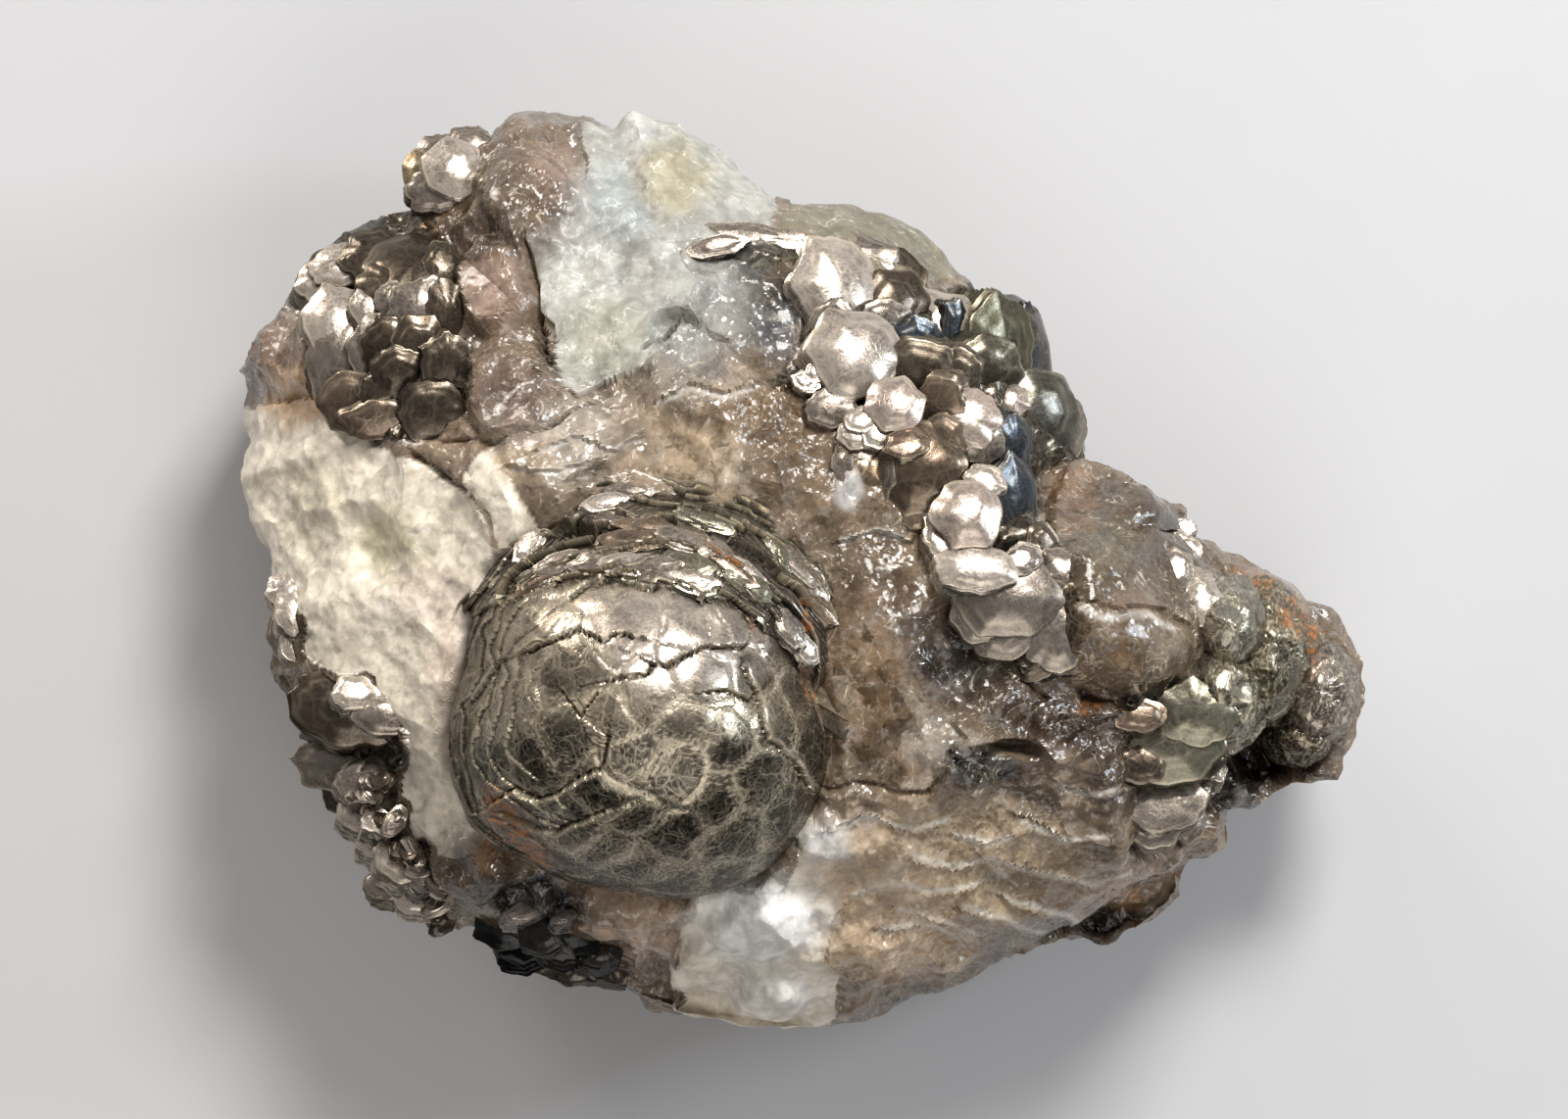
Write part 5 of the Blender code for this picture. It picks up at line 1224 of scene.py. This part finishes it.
def book(number, x, y, wide, deep, turn, lean_x, lean_y, rise, crown, tone, thick=None,
         sides=BOOK_SIDES):
    """One book of curved plates: a domed top over a wall of stacked sheet edges."""
    random = np.random.default_rng(number)
    angle = np.linspace(0, 2 * math.pi, sides, endpoint=False)
    corner = random.uniform(0, math.pi / 3)
    wedge = (angle - corner) % (math.pi / 3) - math.pi / 6
    hexagon = math.cos(math.pi / 6) / np.cos(wedge)
    waves = waves_round(random, angle, 0.04, (1, 2, 3, 5, 8, 13))
    worn = 0.45 + 0.40 * np.cos(2 * angle + random.uniform(0, 6.3))
    worn = np.clip(worn + 0.25 * np.cos(5 * angle + random.uniform(0, 6.3)), 0.05, 0.9)
    outline = (1 + 0.85 * (hexagon - 0.93) + waves) * BOOK_GROWTH
    thick = thick or 2.2 + 0.5 * (wide + deep)
    terraces = [(random.uniform(0.5, 0.9), random.uniform(0, 6.3), random.uniform(0.04, 0.12))
                for _ in range(2)]
    rings, heights, lines, darks = [], [], [], []
    for share in TOP_RINGS:
        lowered = 0.85 * crown * share**2 + 0 * angle
        line = worn * smooth(0.90, 0.98, share)
        for edge, way, size in terraces:
            past = share + 0.14 * np.cos(angle - way) - edge
            lowered += size * smooth(-0.04, 0.04, past)
            line = np.maximum(line, 0.5 * np.exp(-((past / 0.04) ** 2)))
        rings.append(share * outline)
        heights.append(-lowered)
        lines.append(line)
        darks.append(0.25 * smooth(0.7, 0.0, share) + 0 * angle)
    rim = heights[-1]
    for layer in range(2 * BOOK_LAYERS + 1):
        depth = 0.08 + thick * (layer / (2 * BOOK_LAYERS)) ** 1.2
        jitter = waves_round(random, angle, 0.03, (1, 3, 6))
        groove = -0.05 if layer % 2 else 0.02
        rings.append(outline * (1 + groove + 0.06 * depth / thick) + jitter * min(layer, 1))
        heights.append(rim - depth)
        lines.append((0.0 if layer % 2 else 0.6) * worn)
        # Painted shade in the sunken grooves between the sheet edges of the wall
        darks.append((0.9 if layer % 2 else 0.2) + 0 * angle)
    share, height = np.array(rings), np.array(heights)
    tip = math.radians(turn)
    across, along = share * wide * np.cos(angle), share * deep * np.sin(angle)
    normal = np.array([lean_x, lean_y, 1.0]) / math.sqrt(1 + lean_x**2 + lean_y**2)
    first = np.cross((-math.sin(tip), math.cos(tip), 0), normal)
    first /= np.linalg.norm(first)
    second = np.cross(normal, first)
    top = front_height(np.array([[x, y]]))[0] + rise
    origin = np.array([x, y, top])
    local = np.concatenate([
        np.zeros((1, 3)), np.stack([across, along, height], -1).reshape(-1, 3),
        [[0, 0, height.min() - 0.5]],
    ])
    local[:, 2] += 0.05 * fractal(local + origin, 1.6, 7, 2)
    points = origin + local[:, :1] * first + local[:, 1:2] * second + local[:, 2:] * normal
    count = len(share)
    index = np.arange(count * sides).reshape(count, sides) + 1
    faces = [np.stack([np.zeros(sides, int), index[0], np.roll(index[0], -1)], axis=1)]
    faces += [ring_faces(index[k], index[k + 1]) for k in range(count - 1)]
    last = np.full(sides, count * sides + 1)
    faces.append(np.stack([index[-1], last, np.roll(index[-1], -1)], axis=1))
    line = np.concatenate([[0.0], np.array(lines).ravel(), [0.0]]) * min(0.3 + 1.6 * tone[0], 1.0)
    dark = np.concatenate([[0.25], np.array(darks).ravel(), [0.9]])
    shade = 1 + random.uniform(-0.15, 0.15) + 0.12 * fractal(points, 1.5, 17, 2)
    net = np.full((len(points), 1), min(max(1.5 * tone[0], 0.10), 0.65))
    colour = np.concatenate([np.array(tone) * shade[:, None], net], axis=1)
    return patch(points, np.concatenate(faces), colour, np.stack([line, 0 * line, dark], axis=1))


def books(rows, first_number):
    """A book for each row, numbered from the first."""
    return [book(first_number + number, *row) for number, row in enumerate(rows)]


def ledge_flakes():
    """Thin broken sheets that stand out of the ledges above the main ball."""
    random = np.random.default_rng(77)
    made = []
    for number in range(LEDGE_FLAKES):
        turn = random.uniform(20, 128)
        share = random.uniform(0.12, 0.9)
        (x, y, z), _ = [part[0] for part in ledge_place(np.array([turn]), np.array([share]))]
        if abs(x - LEDGE_SHADED_HOLLOW[0]) < 4.5 and abs(y - LEDGE_SHADED_HOLLOW[1]) < 2.2:
            continue
        way = np.array([math.cos(math.radians(turn)), math.sin(math.radians(turn))])
        lean = way * random.uniform(0.45, 0.75) + random.normal(0, 0.1, 2)
        wide, deep = random.uniform(1.4, 2.8), random.uniform(0.7, 1.2)
        rise = z - front_height(np.array([[x, y]]))[0] + random.uniform(0.3, 0.8)
        tone = LEDGE_FLAKE_TONES[number % len(LEDGE_FLAKE_TONES)]
        made.append(book(900 + number, x, y, wide, deep, turn - 90 + random.normal(0, 14),
                         *lean, rise, 0.15, tone, 1.0))
    return made


def crumpled_flakes():
    """The torn silvery sheets that stand up at the lower left edge."""
    random = np.random.default_rng(55)
    made = []
    for number in range(CRUMPLED_FLAKES):
        share = random.uniform(0, 1)
        x = -46.4 + 8.6 * share + random.normal(0, 0.9)
        y = -20.6 - 12.6 * share + random.normal(0, 1.2)
        tone = CRUMPLED_TONES[number % len(CRUMPLED_TONES)]
        made.append(book(950 + number, x, y, random.uniform(0.7, 1.5), random.uniform(0.5, 0.9),
                         random.uniform(-60, 60), *random.normal((0.05, 0.2), 0.5),
                         random.uniform(1.6, 3.0), 0.1, tone, 0.7, CRUMPLED_SIDES))
    return made


def placed(name, data):
    """A new object in the scene, at the origin."""
    made = bpy.data.objects.new(name, data)
    bpy.context.scene.collection.objects.link(made)
    return made


def painted(mesh, name, colours):
    """Keeps a colour for each point of the mesh under this name."""
    kept = mesh.attributes.new(name, "FLOAT_COLOR", "POINT")
    kept.data.foreach_set("color", np.clip(colours, 0, 1).astype(np.float32).ravel())


def piece(name, parts, finish, node, crease=MICA_CREASE):
    """Joins the patches into one object that rides with the specimen."""
    starts = np.cumsum([0] + [len(part["points"]) for part in parts])
    points = np.concatenate([part["points"] for part in parts]) * MM
    faces = np.concatenate([part["faces"] + start for part, start in zip(parts, starts)])
    tone = np.concatenate([part["tone"] for part in parts])
    marks = np.concatenate([part["marks"] for part in parts])
    mesh = bpy.data.meshes.new(name)
    mesh.vertices.add(len(points))
    mesh.vertices.foreach_set("co", points.ravel())
    mesh.loops.add(faces.size)
    mesh.loops.foreach_set("vertex_index", faces.ravel().astype(np.int32))
    mesh.polygons.add(len(faces))
    mesh.polygons.foreach_set("loop_start", np.arange(0, faces.size, 3, dtype=np.int32))
    mesh.update(calc_edges=True)
    mesh.shade_smooth()
    mesh.set_sharp_from_angle(angle=math.radians(crease))
    painted(mesh, "tone", tone)
    painted(mesh, "marks", np.column_stack([marks, marks[:, :1]]))
    mesh.materials.append(finish)
    made = placed(name, mesh)
    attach(made, "root")
    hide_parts(node)


# Rust: where its spots begin and are full, the same for its light shade, then both colours
MICA_RUST = ((0.36, 0.58), (0.42, 0.66), tint(66, 38, 20), tint(170, 104, 44))
ROCK_RUST = ((0.38, 0.62), (0.40, 0.65), tint(84, 50, 26), tint(160, 104, 54))
# Sizes of the rock's sparkling specks and of its flat broken faces
SPARK_SIZE = 0.42
PLANE_SIZE = 1.7


def feed(tree, socket, value):
    """Links a socket to a node's output, or sets it."""
    if isinstance(value, bpy.types.NodeSocket):
        tree.links.new(value, socket)
    else:
        socket.default_value = value


def maths(tree, operation, first, second=0.0):
    made = tree.nodes.new("ShaderNodeMath")
    made.operation = operation
    feed(tree, made.inputs[0], first)
    feed(tree, made.inputs[1], second)
    return made.outputs[0]


def times(tree, first, second):
    return maths(tree, "MULTIPLY", first, second)


def vectors(tree, operation, *values):
    """Vector arithmetic on these values; SCALE has its number last."""
    made = tree.nodes.new("ShaderNodeVectorMath")
    made.operation = operation
    sockets = [made.inputs[0], made.inputs["Scale"]] if operation == "SCALE" else made.inputs
    for socket, value in zip(sockets, values):
        feed(tree, socket, value)
    return made.outputs[0]


def constants(shader, values):
    """Sets what is the same all over a surface on the shader's own sockets."""
    for socket, value in values.items():
        shader.inputs[socket].default_value = value


def mixed(tree, share, first, second, mode="MIX"):
    """Two colours mixed by share."""
    made = tree.nodes.new("ShaderNodeMix")
    made.data_type = "RGBA"
    made.blend_type = mode
    feed(tree, made.inputs[0], share)
    feed(tree, made.inputs[6], (*first, 1) if isinstance(first, tuple) else first)
    feed(tree, made.inputs[7], (*second, 1) if isinstance(second, tuple) else second)
    return made.outputs[2]


def spread(tree, value, low, high, to_low=0.0, to_high=1.0):
    """The value's run from low to high, stretched smoothly from to_low to to_high."""
    made = tree.nodes.new("ShaderNodeMapRange")
    made.interpolation_type = "SMOOTHSTEP"
    feed(tree, made.inputs[0], value)
    for socket, number in zip(made.inputs[1:5], (low, high, to_low, to_high)):
        socket.default_value = number
    return made.outputs[0]


def noise_at(tree, place, size, detail=3.0, rough=0.55, stretch=0.0):
    """Noise with lumps of this size in millimetres."""
    made = tree.nodes.new("ShaderNodeTexNoise")
    made.inputs["Scale"].default_value = 1 / (size * MM)
    made.inputs["Detail"].default_value = detail
    made.inputs["Roughness"].default_value = rough
    made.inputs["Distortion"].default_value = stretch
    tree.links.new(place, made.inputs["Vector"])
    return made.outputs["Fac"], made.outputs["Color"]


def cells_at(tree, place, size, feature="F1"):
    """Scattered cells of this size in millimetres: distance and a colour for each."""
    made = tree.nodes.new("ShaderNodeTexVoronoi")
    made.feature = feature
    made.inputs["Scale"].default_value = 1 / (size * MM)
    tree.links.new(place, made.inputs["Vector"])
    return made.outputs["Distance"], made.outputs.get("Color")


def bumped(tree, height, distance, strength=1.0, below=None):
    """The surface's direction after a fine relief, distance in millimetres."""
    made = tree.nodes.new("ShaderNodeBump")
    made.inputs["Strength"].default_value = strength
    made.inputs["Distance"].default_value = distance * MM
    tree.links.new(height, made.inputs["Height"])
    if below is not None:
        tree.links.new(below, made.inputs["Normal"])
    return made.outputs["Normal"]


def moved(tree, place, size, amount):
    """The place moved about by noise, which makes lines wander."""
    _, colour = noise_at(tree, place, size, 2.0)
    return vectors(tree, "MULTIPLY_ADD", colour, (amount * MM,) * 3, place)


def plain_finish(name):
    """A new material: its node tree, its shader and the position on the object."""
    made = bpy.data.materials.new(name)
    made.use_nodes = True
    tree = made.node_tree
    place = tree.nodes.new("ShaderNodeTexCoord").outputs["Object"]
    return made, tree, tree.nodes["Principled BSDF"], place


def painted_finish(name):
    """A plain finish, and the painted colour, pale lines, rust and dark of its surface, the dark
    partly painted shade.
    """
    made, tree, shader, place = plain_finish(name)
    tone = tree.nodes.new("ShaderNodeAttribute")
    tone.attribute_name = "tone"
    marks = tree.nodes.new("ShaderNodeAttribute")
    marks.attribute_name = "marks"
    parts = tree.nodes.new("ShaderNodeSeparateColor")
    tree.links.new(marks.outputs["Color"], parts.inputs[0])
    return made, tree, shader, place, tone, *parts.outputs


def rusted(tree, place, colour, rust, size, strength, patchy, shades, deep, light):
    """The colour under spotty rust, and how rusty each place is."""
    stain, _ = noise_at(tree, place, size, 4.0, 0.7)
    rusty = times(tree, rust, spread(tree, stain, *patchy, 0.1, 1.0))
    rust_colour = mixed(tree, spread(tree, stain, *shades), deep, light)
    return mixed(tree, times(tree, rusty, strength), colour, rust_colour), rusty


def mica_finish(name, roughness, coat, dark_colour, line_colour, metallic):
    """Muscovite: silvery sheets, dark where they are whole and where the dark mark paints shade, and
    pale along their edges.
    """
    made, tree, shader, place, tone, line, rust, dark = painted_finish(name)
    gap, _ = cells_at(tree, moved(tree, place, 3.0, 2.4), 3.0, "DISTANCE_TO_EDGE")
    net = spread(tree, gap, 0.06, 0.0)
    fine_gap, _ = cells_at(tree, moved(tree, place, 1.4, 1.2), 1.0, "DISTANCE_TO_EDGE")
    fine = spread(tree, fine_gap, 0.11, 0.0)
    swirl, _ = noise_at(tree, place, 5.0, 1.5, 0.5, 0.4)
    arc = spread(tree, maths(tree, "PINGPONG", times(tree, swirl, 13.0), 0.5), 0.11, 0.0)
    cloud, _ = noise_at(tree, place, 2.4, 4.0, 0.65)
    fleck, _ = noise_at(tree, place, 0.35, 3.0, 0.7)
    edges = maths(tree, "MAXIMUM", times(tree, net, 0.9), times(tree, arc, 0.8))
    edges = maths(tree, "MAXIMUM", edges, times(tree, fine, 0.5))
    edges = times(tree, edges, spread(tree, cloud, 0.34, 0.60, 0.15, 1.0))
    edges = times(tree, edges, tone.outputs["Alpha"])
    edges = maths(tree, "MAXIMUM", edges, line)
    cloudy = spread(tree, cloud, 0.40, 0.68, 0.0, 0.45)
    colour = mixed(tree, cloudy, tone.outputs["Color"], dark_colour)
    # The dark mark darkens the colour: dark plate middles, and painted shade in cracks, grooves and
    # hollows and on the main ball's lower half
    colour = mixed(tree, times(tree, dark, 0.94), colour, dark_colour)
    colour = mixed(tree, times(tree, edges, 0.8), colour, line_colour)
    strong = maths(tree, "MINIMUM", times(tree, rust, 1.6), 1.0)
    colour, rusty = rusted(tree, place, colour, strong, 0.9, 0.9, *MICA_RUST)
    tree.links.new(colour, shader.inputs["Base Color"])
    shine = maths(tree, "SUBTRACT", metallic, times(tree, rusty, metallic))
    shine = maths(tree, "SUBTRACT", shine, times(tree, edges, metallic * 0.5))
    tree.links.new(shine, shader.inputs["Metallic"])
    rough = spread(tree, fleck, 0.3, 0.7, roughness - 0.06, roughness + 0.08)
    rough = maths(tree, "ADD", rough, times(tree, rusty, 0.35))
    tree.links.new(rough, shader.inputs["Roughness"])
    constants(shader, {
        "IOR": 1.6, "Coat Weight": coat, "Coat Roughness": 0.12,
        "Specular Tint": (0.5, 0.5, 0.5, 1.0),
    })
    height = maths(tree, "ADD", times(tree, edges, 0.5), times(tree, fleck, 0.55))
    tree.links.new(bumped(tree, height, 0.04, 0.8), shader.inputs["Normal"])
    return made


def rock_finish(name, roughness, subsurface, radius, veil_colour, spark, planes, coat):
    """Quartz or albite: cloudy and let light in, with tiny broken faces that sparkle."""
    made, tree, shader, place, tone, line, rust, _ = painted_finish(name)
    cloud, _ = noise_at(tree, place, 2.2, 5.0, 0.62, 0.6)
    thread, _ = noise_at(tree, place, 4.0, 3.0, 0.55, 0.8)
    threads = spread(tree, maths(tree, "ABSOLUTE", maths(tree, "SUBTRACT", thread, 0.5)), 0.012, 0.0)
    threads = times(tree, threads, spread(tree, cloud, 0.40, 0.62))
    speck, _ = noise_at(tree, place, 0.5, 3.0, 0.7)
    shade = mixed(tree, spread(tree, cloud, 0.3, 0.7), (0.74, 0.73, 0.72), (1.24, 1.25, 1.26))
    colour = mixed(tree, 1.0, tone.outputs["Color"], shade, "MULTIPLY")
    colour = mixed(tree, times(tree, threads, 0.65), colour, veil_colour)
    colour = mixed(tree, spread(tree, speck, 0.60, 0.80, 0.0, 0.40), colour, veil_colour)
    colour = mixed(tree, times(tree, line, 0.7), colour, (0.68, 0.64, 0.57))
    colour, _ = rusted(tree, place, colour, rust, 1.0, 0.85, *ROCK_RUST)
    tree.links.new(colour, shader.inputs["Base Color"])
    constants(shader, {
        "Subsurface Weight": subsurface, "Subsurface Radius": radius, "Subsurface Scale": MM,
        "IOR": 1.55, "Coat Weight": coat, "Coat Roughness": 0.10,
    })
    rough = spread(tree, speck, 0.3, 0.7, roughness - 0.08, roughness + 0.12)
    tree.links.new(rough, shader.inputs["Roughness"])
    facing = bumped(tree, cloud, 0.10, 0.6)
    _, faces = cells_at(tree, place, SPARK_SIZE)
    tilt = vectors(tree, "SUBTRACT", faces, (0.5, 0.5, 0.5))
    tilt = vectors(tree, "SCALE", tilt, times(tree, tone.outputs["Alpha"], spark))
    _, flats = cells_at(tree, moved(tree, place, 1.0, 0.8), PLANE_SIZE)
    slant = vectors(tree, "MULTIPLY_ADD", flats, (planes,) * 3, tilt)
    slant = vectors(tree, "SUBTRACT", slant, (planes / 2,) * 3)
    facing = vectors(tree, "NORMALIZE", vectors(tree, "ADD", facing, slant))
    tree.links.new(facing, shader.inputs["Normal"])
    return made


def floor_finish():
    """A pale matt floor."""
    made, tree, shader, place = plain_finish("studio_floor")
    mottle, _ = noise_at(tree, place, 40.0, 3.0)
    colour = mixed(tree, mottle, (0.50, 0.50, 0.51), (0.53, 0.53, 0.54))
    tree.links.new(colour, shader.inputs["Base Color"])
    shader.inputs["Roughness"].default_value = 0.9
    return made


# Lights: direction from the specimen, size, watts and colour
LIGHTS = {
    "key_light": ((0.25, 0.60, 0.76), 0.24, 8.3, (1.0, 0.98, 0.95)),
    "fill_light": ((0.15, -0.60, 0.78), 0.60, 2.6, (1.0, 0.97, 0.93)),
    "right_light": ((0.87, 0.25, 0.44), 0.20, 3.2, (0.80, 0.90, 1.0)),
    "left_light": ((-0.60, 0.76, 0.28), 0.20, 3.2, (1.0, 0.93, 0.86)),
}
LIGHT_DISTANCE = 0.9
LIGHT_TARGET = (0, 0, 0.03)
FLOOR_SIDE = 3.0
ROOM_DARK = (0.03, 0.03, 0.035)
ROOM_LIGHT = (0.46, 0.45, 0.44)
ROOM_STRENGTH = 0.8
CAMERA_HEIGHT = 1.6
# The level at which the picture is FRAME_WIDTH wide, and the middle of the picture there
FRAME_LEVEL = 0.042
FRAME_WIDTH = 0.160
FRAME_MIDDLE = (-0.0017, 0.0012)


def soft_light(name, way, size, watts, colour):
    """A square soft light that looks at the specimen."""
    data = bpy.data.lights.new(name, "AREA")
    data.shape = "SQUARE"
    data.size = size
    data.energy = watts
    data.color = colour
    light = placed(name, data)
    light.location = Vector(way).normalized() * LIGHT_DISTANCE
    view = Vector(LIGHT_TARGET) - light.location
    light.rotation_euler = view.to_track_quat("-Z", "Y").to_euler()


def room():
    """A dim room, lighter above and beyond the specimen."""
    world = bpy.data.worlds.new("room")
    world.use_nodes = True
    tree = world.node_tree
    parts = tree.nodes.new("ShaderNodeSeparateXYZ")
    tree.links.new(tree.nodes.new("ShaderNodeTexCoord").outputs["Generated"], parts.inputs[0])
    slant = maths(tree, "ADD", parts.outputs[1], times(tree, parts.outputs[2], 0.7))
    colour = mixed(tree, spread(tree, slant, -0.6, 1.2), ROOM_DARK, ROOM_LIGHT)
    background = tree.nodes["Background"]
    tree.links.new(colour, background.inputs[0])
    background.inputs[1].default_value = ROOM_STRENGTH
    bpy.context.scene.world = world


def studio():
    """A pale floor, soft lights and a dim room, seen from straight above."""
    mesh = bpy.data.meshes.new("studio_floor")
    corners = [(-1, -1), (1, -1), (1, 1), (-1, 1)]
    mesh.from_pydata([(FLOOR_SIDE * x, FLOOR_SIDE * y, 0) for x, y in corners], [], [(0, 1, 2, 3)])
    mesh.materials.append(floor_finish())
    floor = placed("studio_floor", mesh)
    for name, settings in LIGHTS.items():
        soft_light(name, *settings)
    room()
    bpy.context.scene.view_settings.view_transform = "Standard"

    data = bpy.data.cameras.new("camera")
    data.lens = data.sensor_width * (CAMERA_HEIGHT - FRAME_LEVEL) / FRAME_WIDTH
    data.clip_end = 10.0
    camera = placed("camera", data)
    camera.location = (*FRAME_MIDDLE, CAMERA_HEIGHT)
    bpy.context.scene.camera = camera


# Lobes of the end and tip balls: centre, half sizes, rings, plate size, seed, colour, stains
# (x, y, half sizes, turn, strength) and darkness
END_LOBES = [
    ((43.6, -5.6, 31.0), (4.4, 5.0, 12.0), 90, 3.4, 801, END_MICA, (), 0.3),
    ((42.6, -12.6, 30.0), (5.4, 6.4, 12.6), 100, 4.0, 811, tint(120, 114, 100),
     [(39.5, -16.5, 2.4, 1.4, 20, 0.6)], 0.8),
    ((47.6, -8.2, 27.0), (4.6, 7.6, 11.5), 110, 3.4, 821, tint(98, 92, 74),
     [(50.6, -4.6, 2.4, 2.4, 0, 0.8), (47.0, -0.6, 2.4, 2.0, 0, 0.6)], 0.8),
]
TIP_LOBES = [
    ((53.4, -12.4, 23.5), (4.2, 5.4, 6.5), 90, 2.6, 861, GREY_MICA,
     [(51.6, -8.6, 2.0, 2.4, 20, 0.9)], 0.5),
    ((51.0, -7.8, 23.5), (3.2, 3.6, 6.0), 60, 2.4, 871, GREEN_MICA,
     [(51.4, -7.0, 3.0, 3.0, 0, 1.0)], 0.5),
    ((51.6, -17.2, 22.0), (3.6, 3.0, 5.0), 60, 2.4, 881, DARK_MICA, (), 0.5),
]


def main():
    quartz = rock_finish("smoky_quartz", 0.22, 0.12, (2.4, 1.8, 1.3), tint(206, 194, 174), 1.0,
                         0.5, 0.4)
    albite = rock_finish("white_albite", 0.42, 0.15, (1.6, 1.4, 1.2), (0.78, 0.77, 0.75), 0.5,
                         0.25, 0.1)
    mica = mica_finish("muscovite", 0.28, 0.2, tint(36, 34, 30), tint(198, 185, 160), 0.85)
    # A darker copy of the muscovite for the foot: its own dark mica, partly painted shade of the
    # shadowed underside
    dark = mica_finish("dark_muscovite", 0.24, 0.2, tint(10, 10, 11), tint(96, 92, 86), 0.6)

    rock = rock_patches()
    piece("smoky_quartz_skin", [rock["smoky_quartz"]], quartz, "smoky_quartz",
          ROCK_CREASE)
    for name in ("albite_left", "albite_top", "albite_ridge", "albite_foot"):
        piece(name + "_skin", [rock[name]], albite, name, ROCK_CREASE)
    clusters = {
        "muscovite_ridge": books(RIDGE_BOOKS, 100),
        "muscovite_corner": books(CORNER_BOOKS, 200),
        "muscovite_knob": books(KNOB_BOOKS, 300),
        "muscovite_side_flakes": books(FLAKE_BOOKS, 400),
        "muscovite_side_book": books(SIDE_BOOKS, 500) + crumpled_flakes(),
        "muscovite_right_plates": books(RIGHT_BOOKS, 700),
        "muscovite_foot": books(FOOT_BOOKS, 600),
    }
    for name, plates in clusters.items():
        black = name == "muscovite_foot"
        finish, slot = (dark, "dark_muscovite") if black else (mica, "muscovite")
        piece(name + "_plates", [rock[name], *plates], finish, name)
    ball = "muscovite_ball"
    piece(ball + "_plates", [main_ball()], mica, ball)
    piece(ball + "_ledges", [ledge_bed(), *ledge_flakes()], mica, ball)
    end = [lobe(*row) for row in END_LOBES] + books(END_BOOKS, 840)
    piece("muscovite_end_ball_plates", end, mica, "muscovite_end_ball")
    tip = [lobe(*row) for row in TIP_LOBES]
    piece("muscovite_tip_ball_plates", tip, mica, "muscovite_tip_ball")
    studio()


def corners(bounds):
    return [list(corner) for corner in bounds]


main()
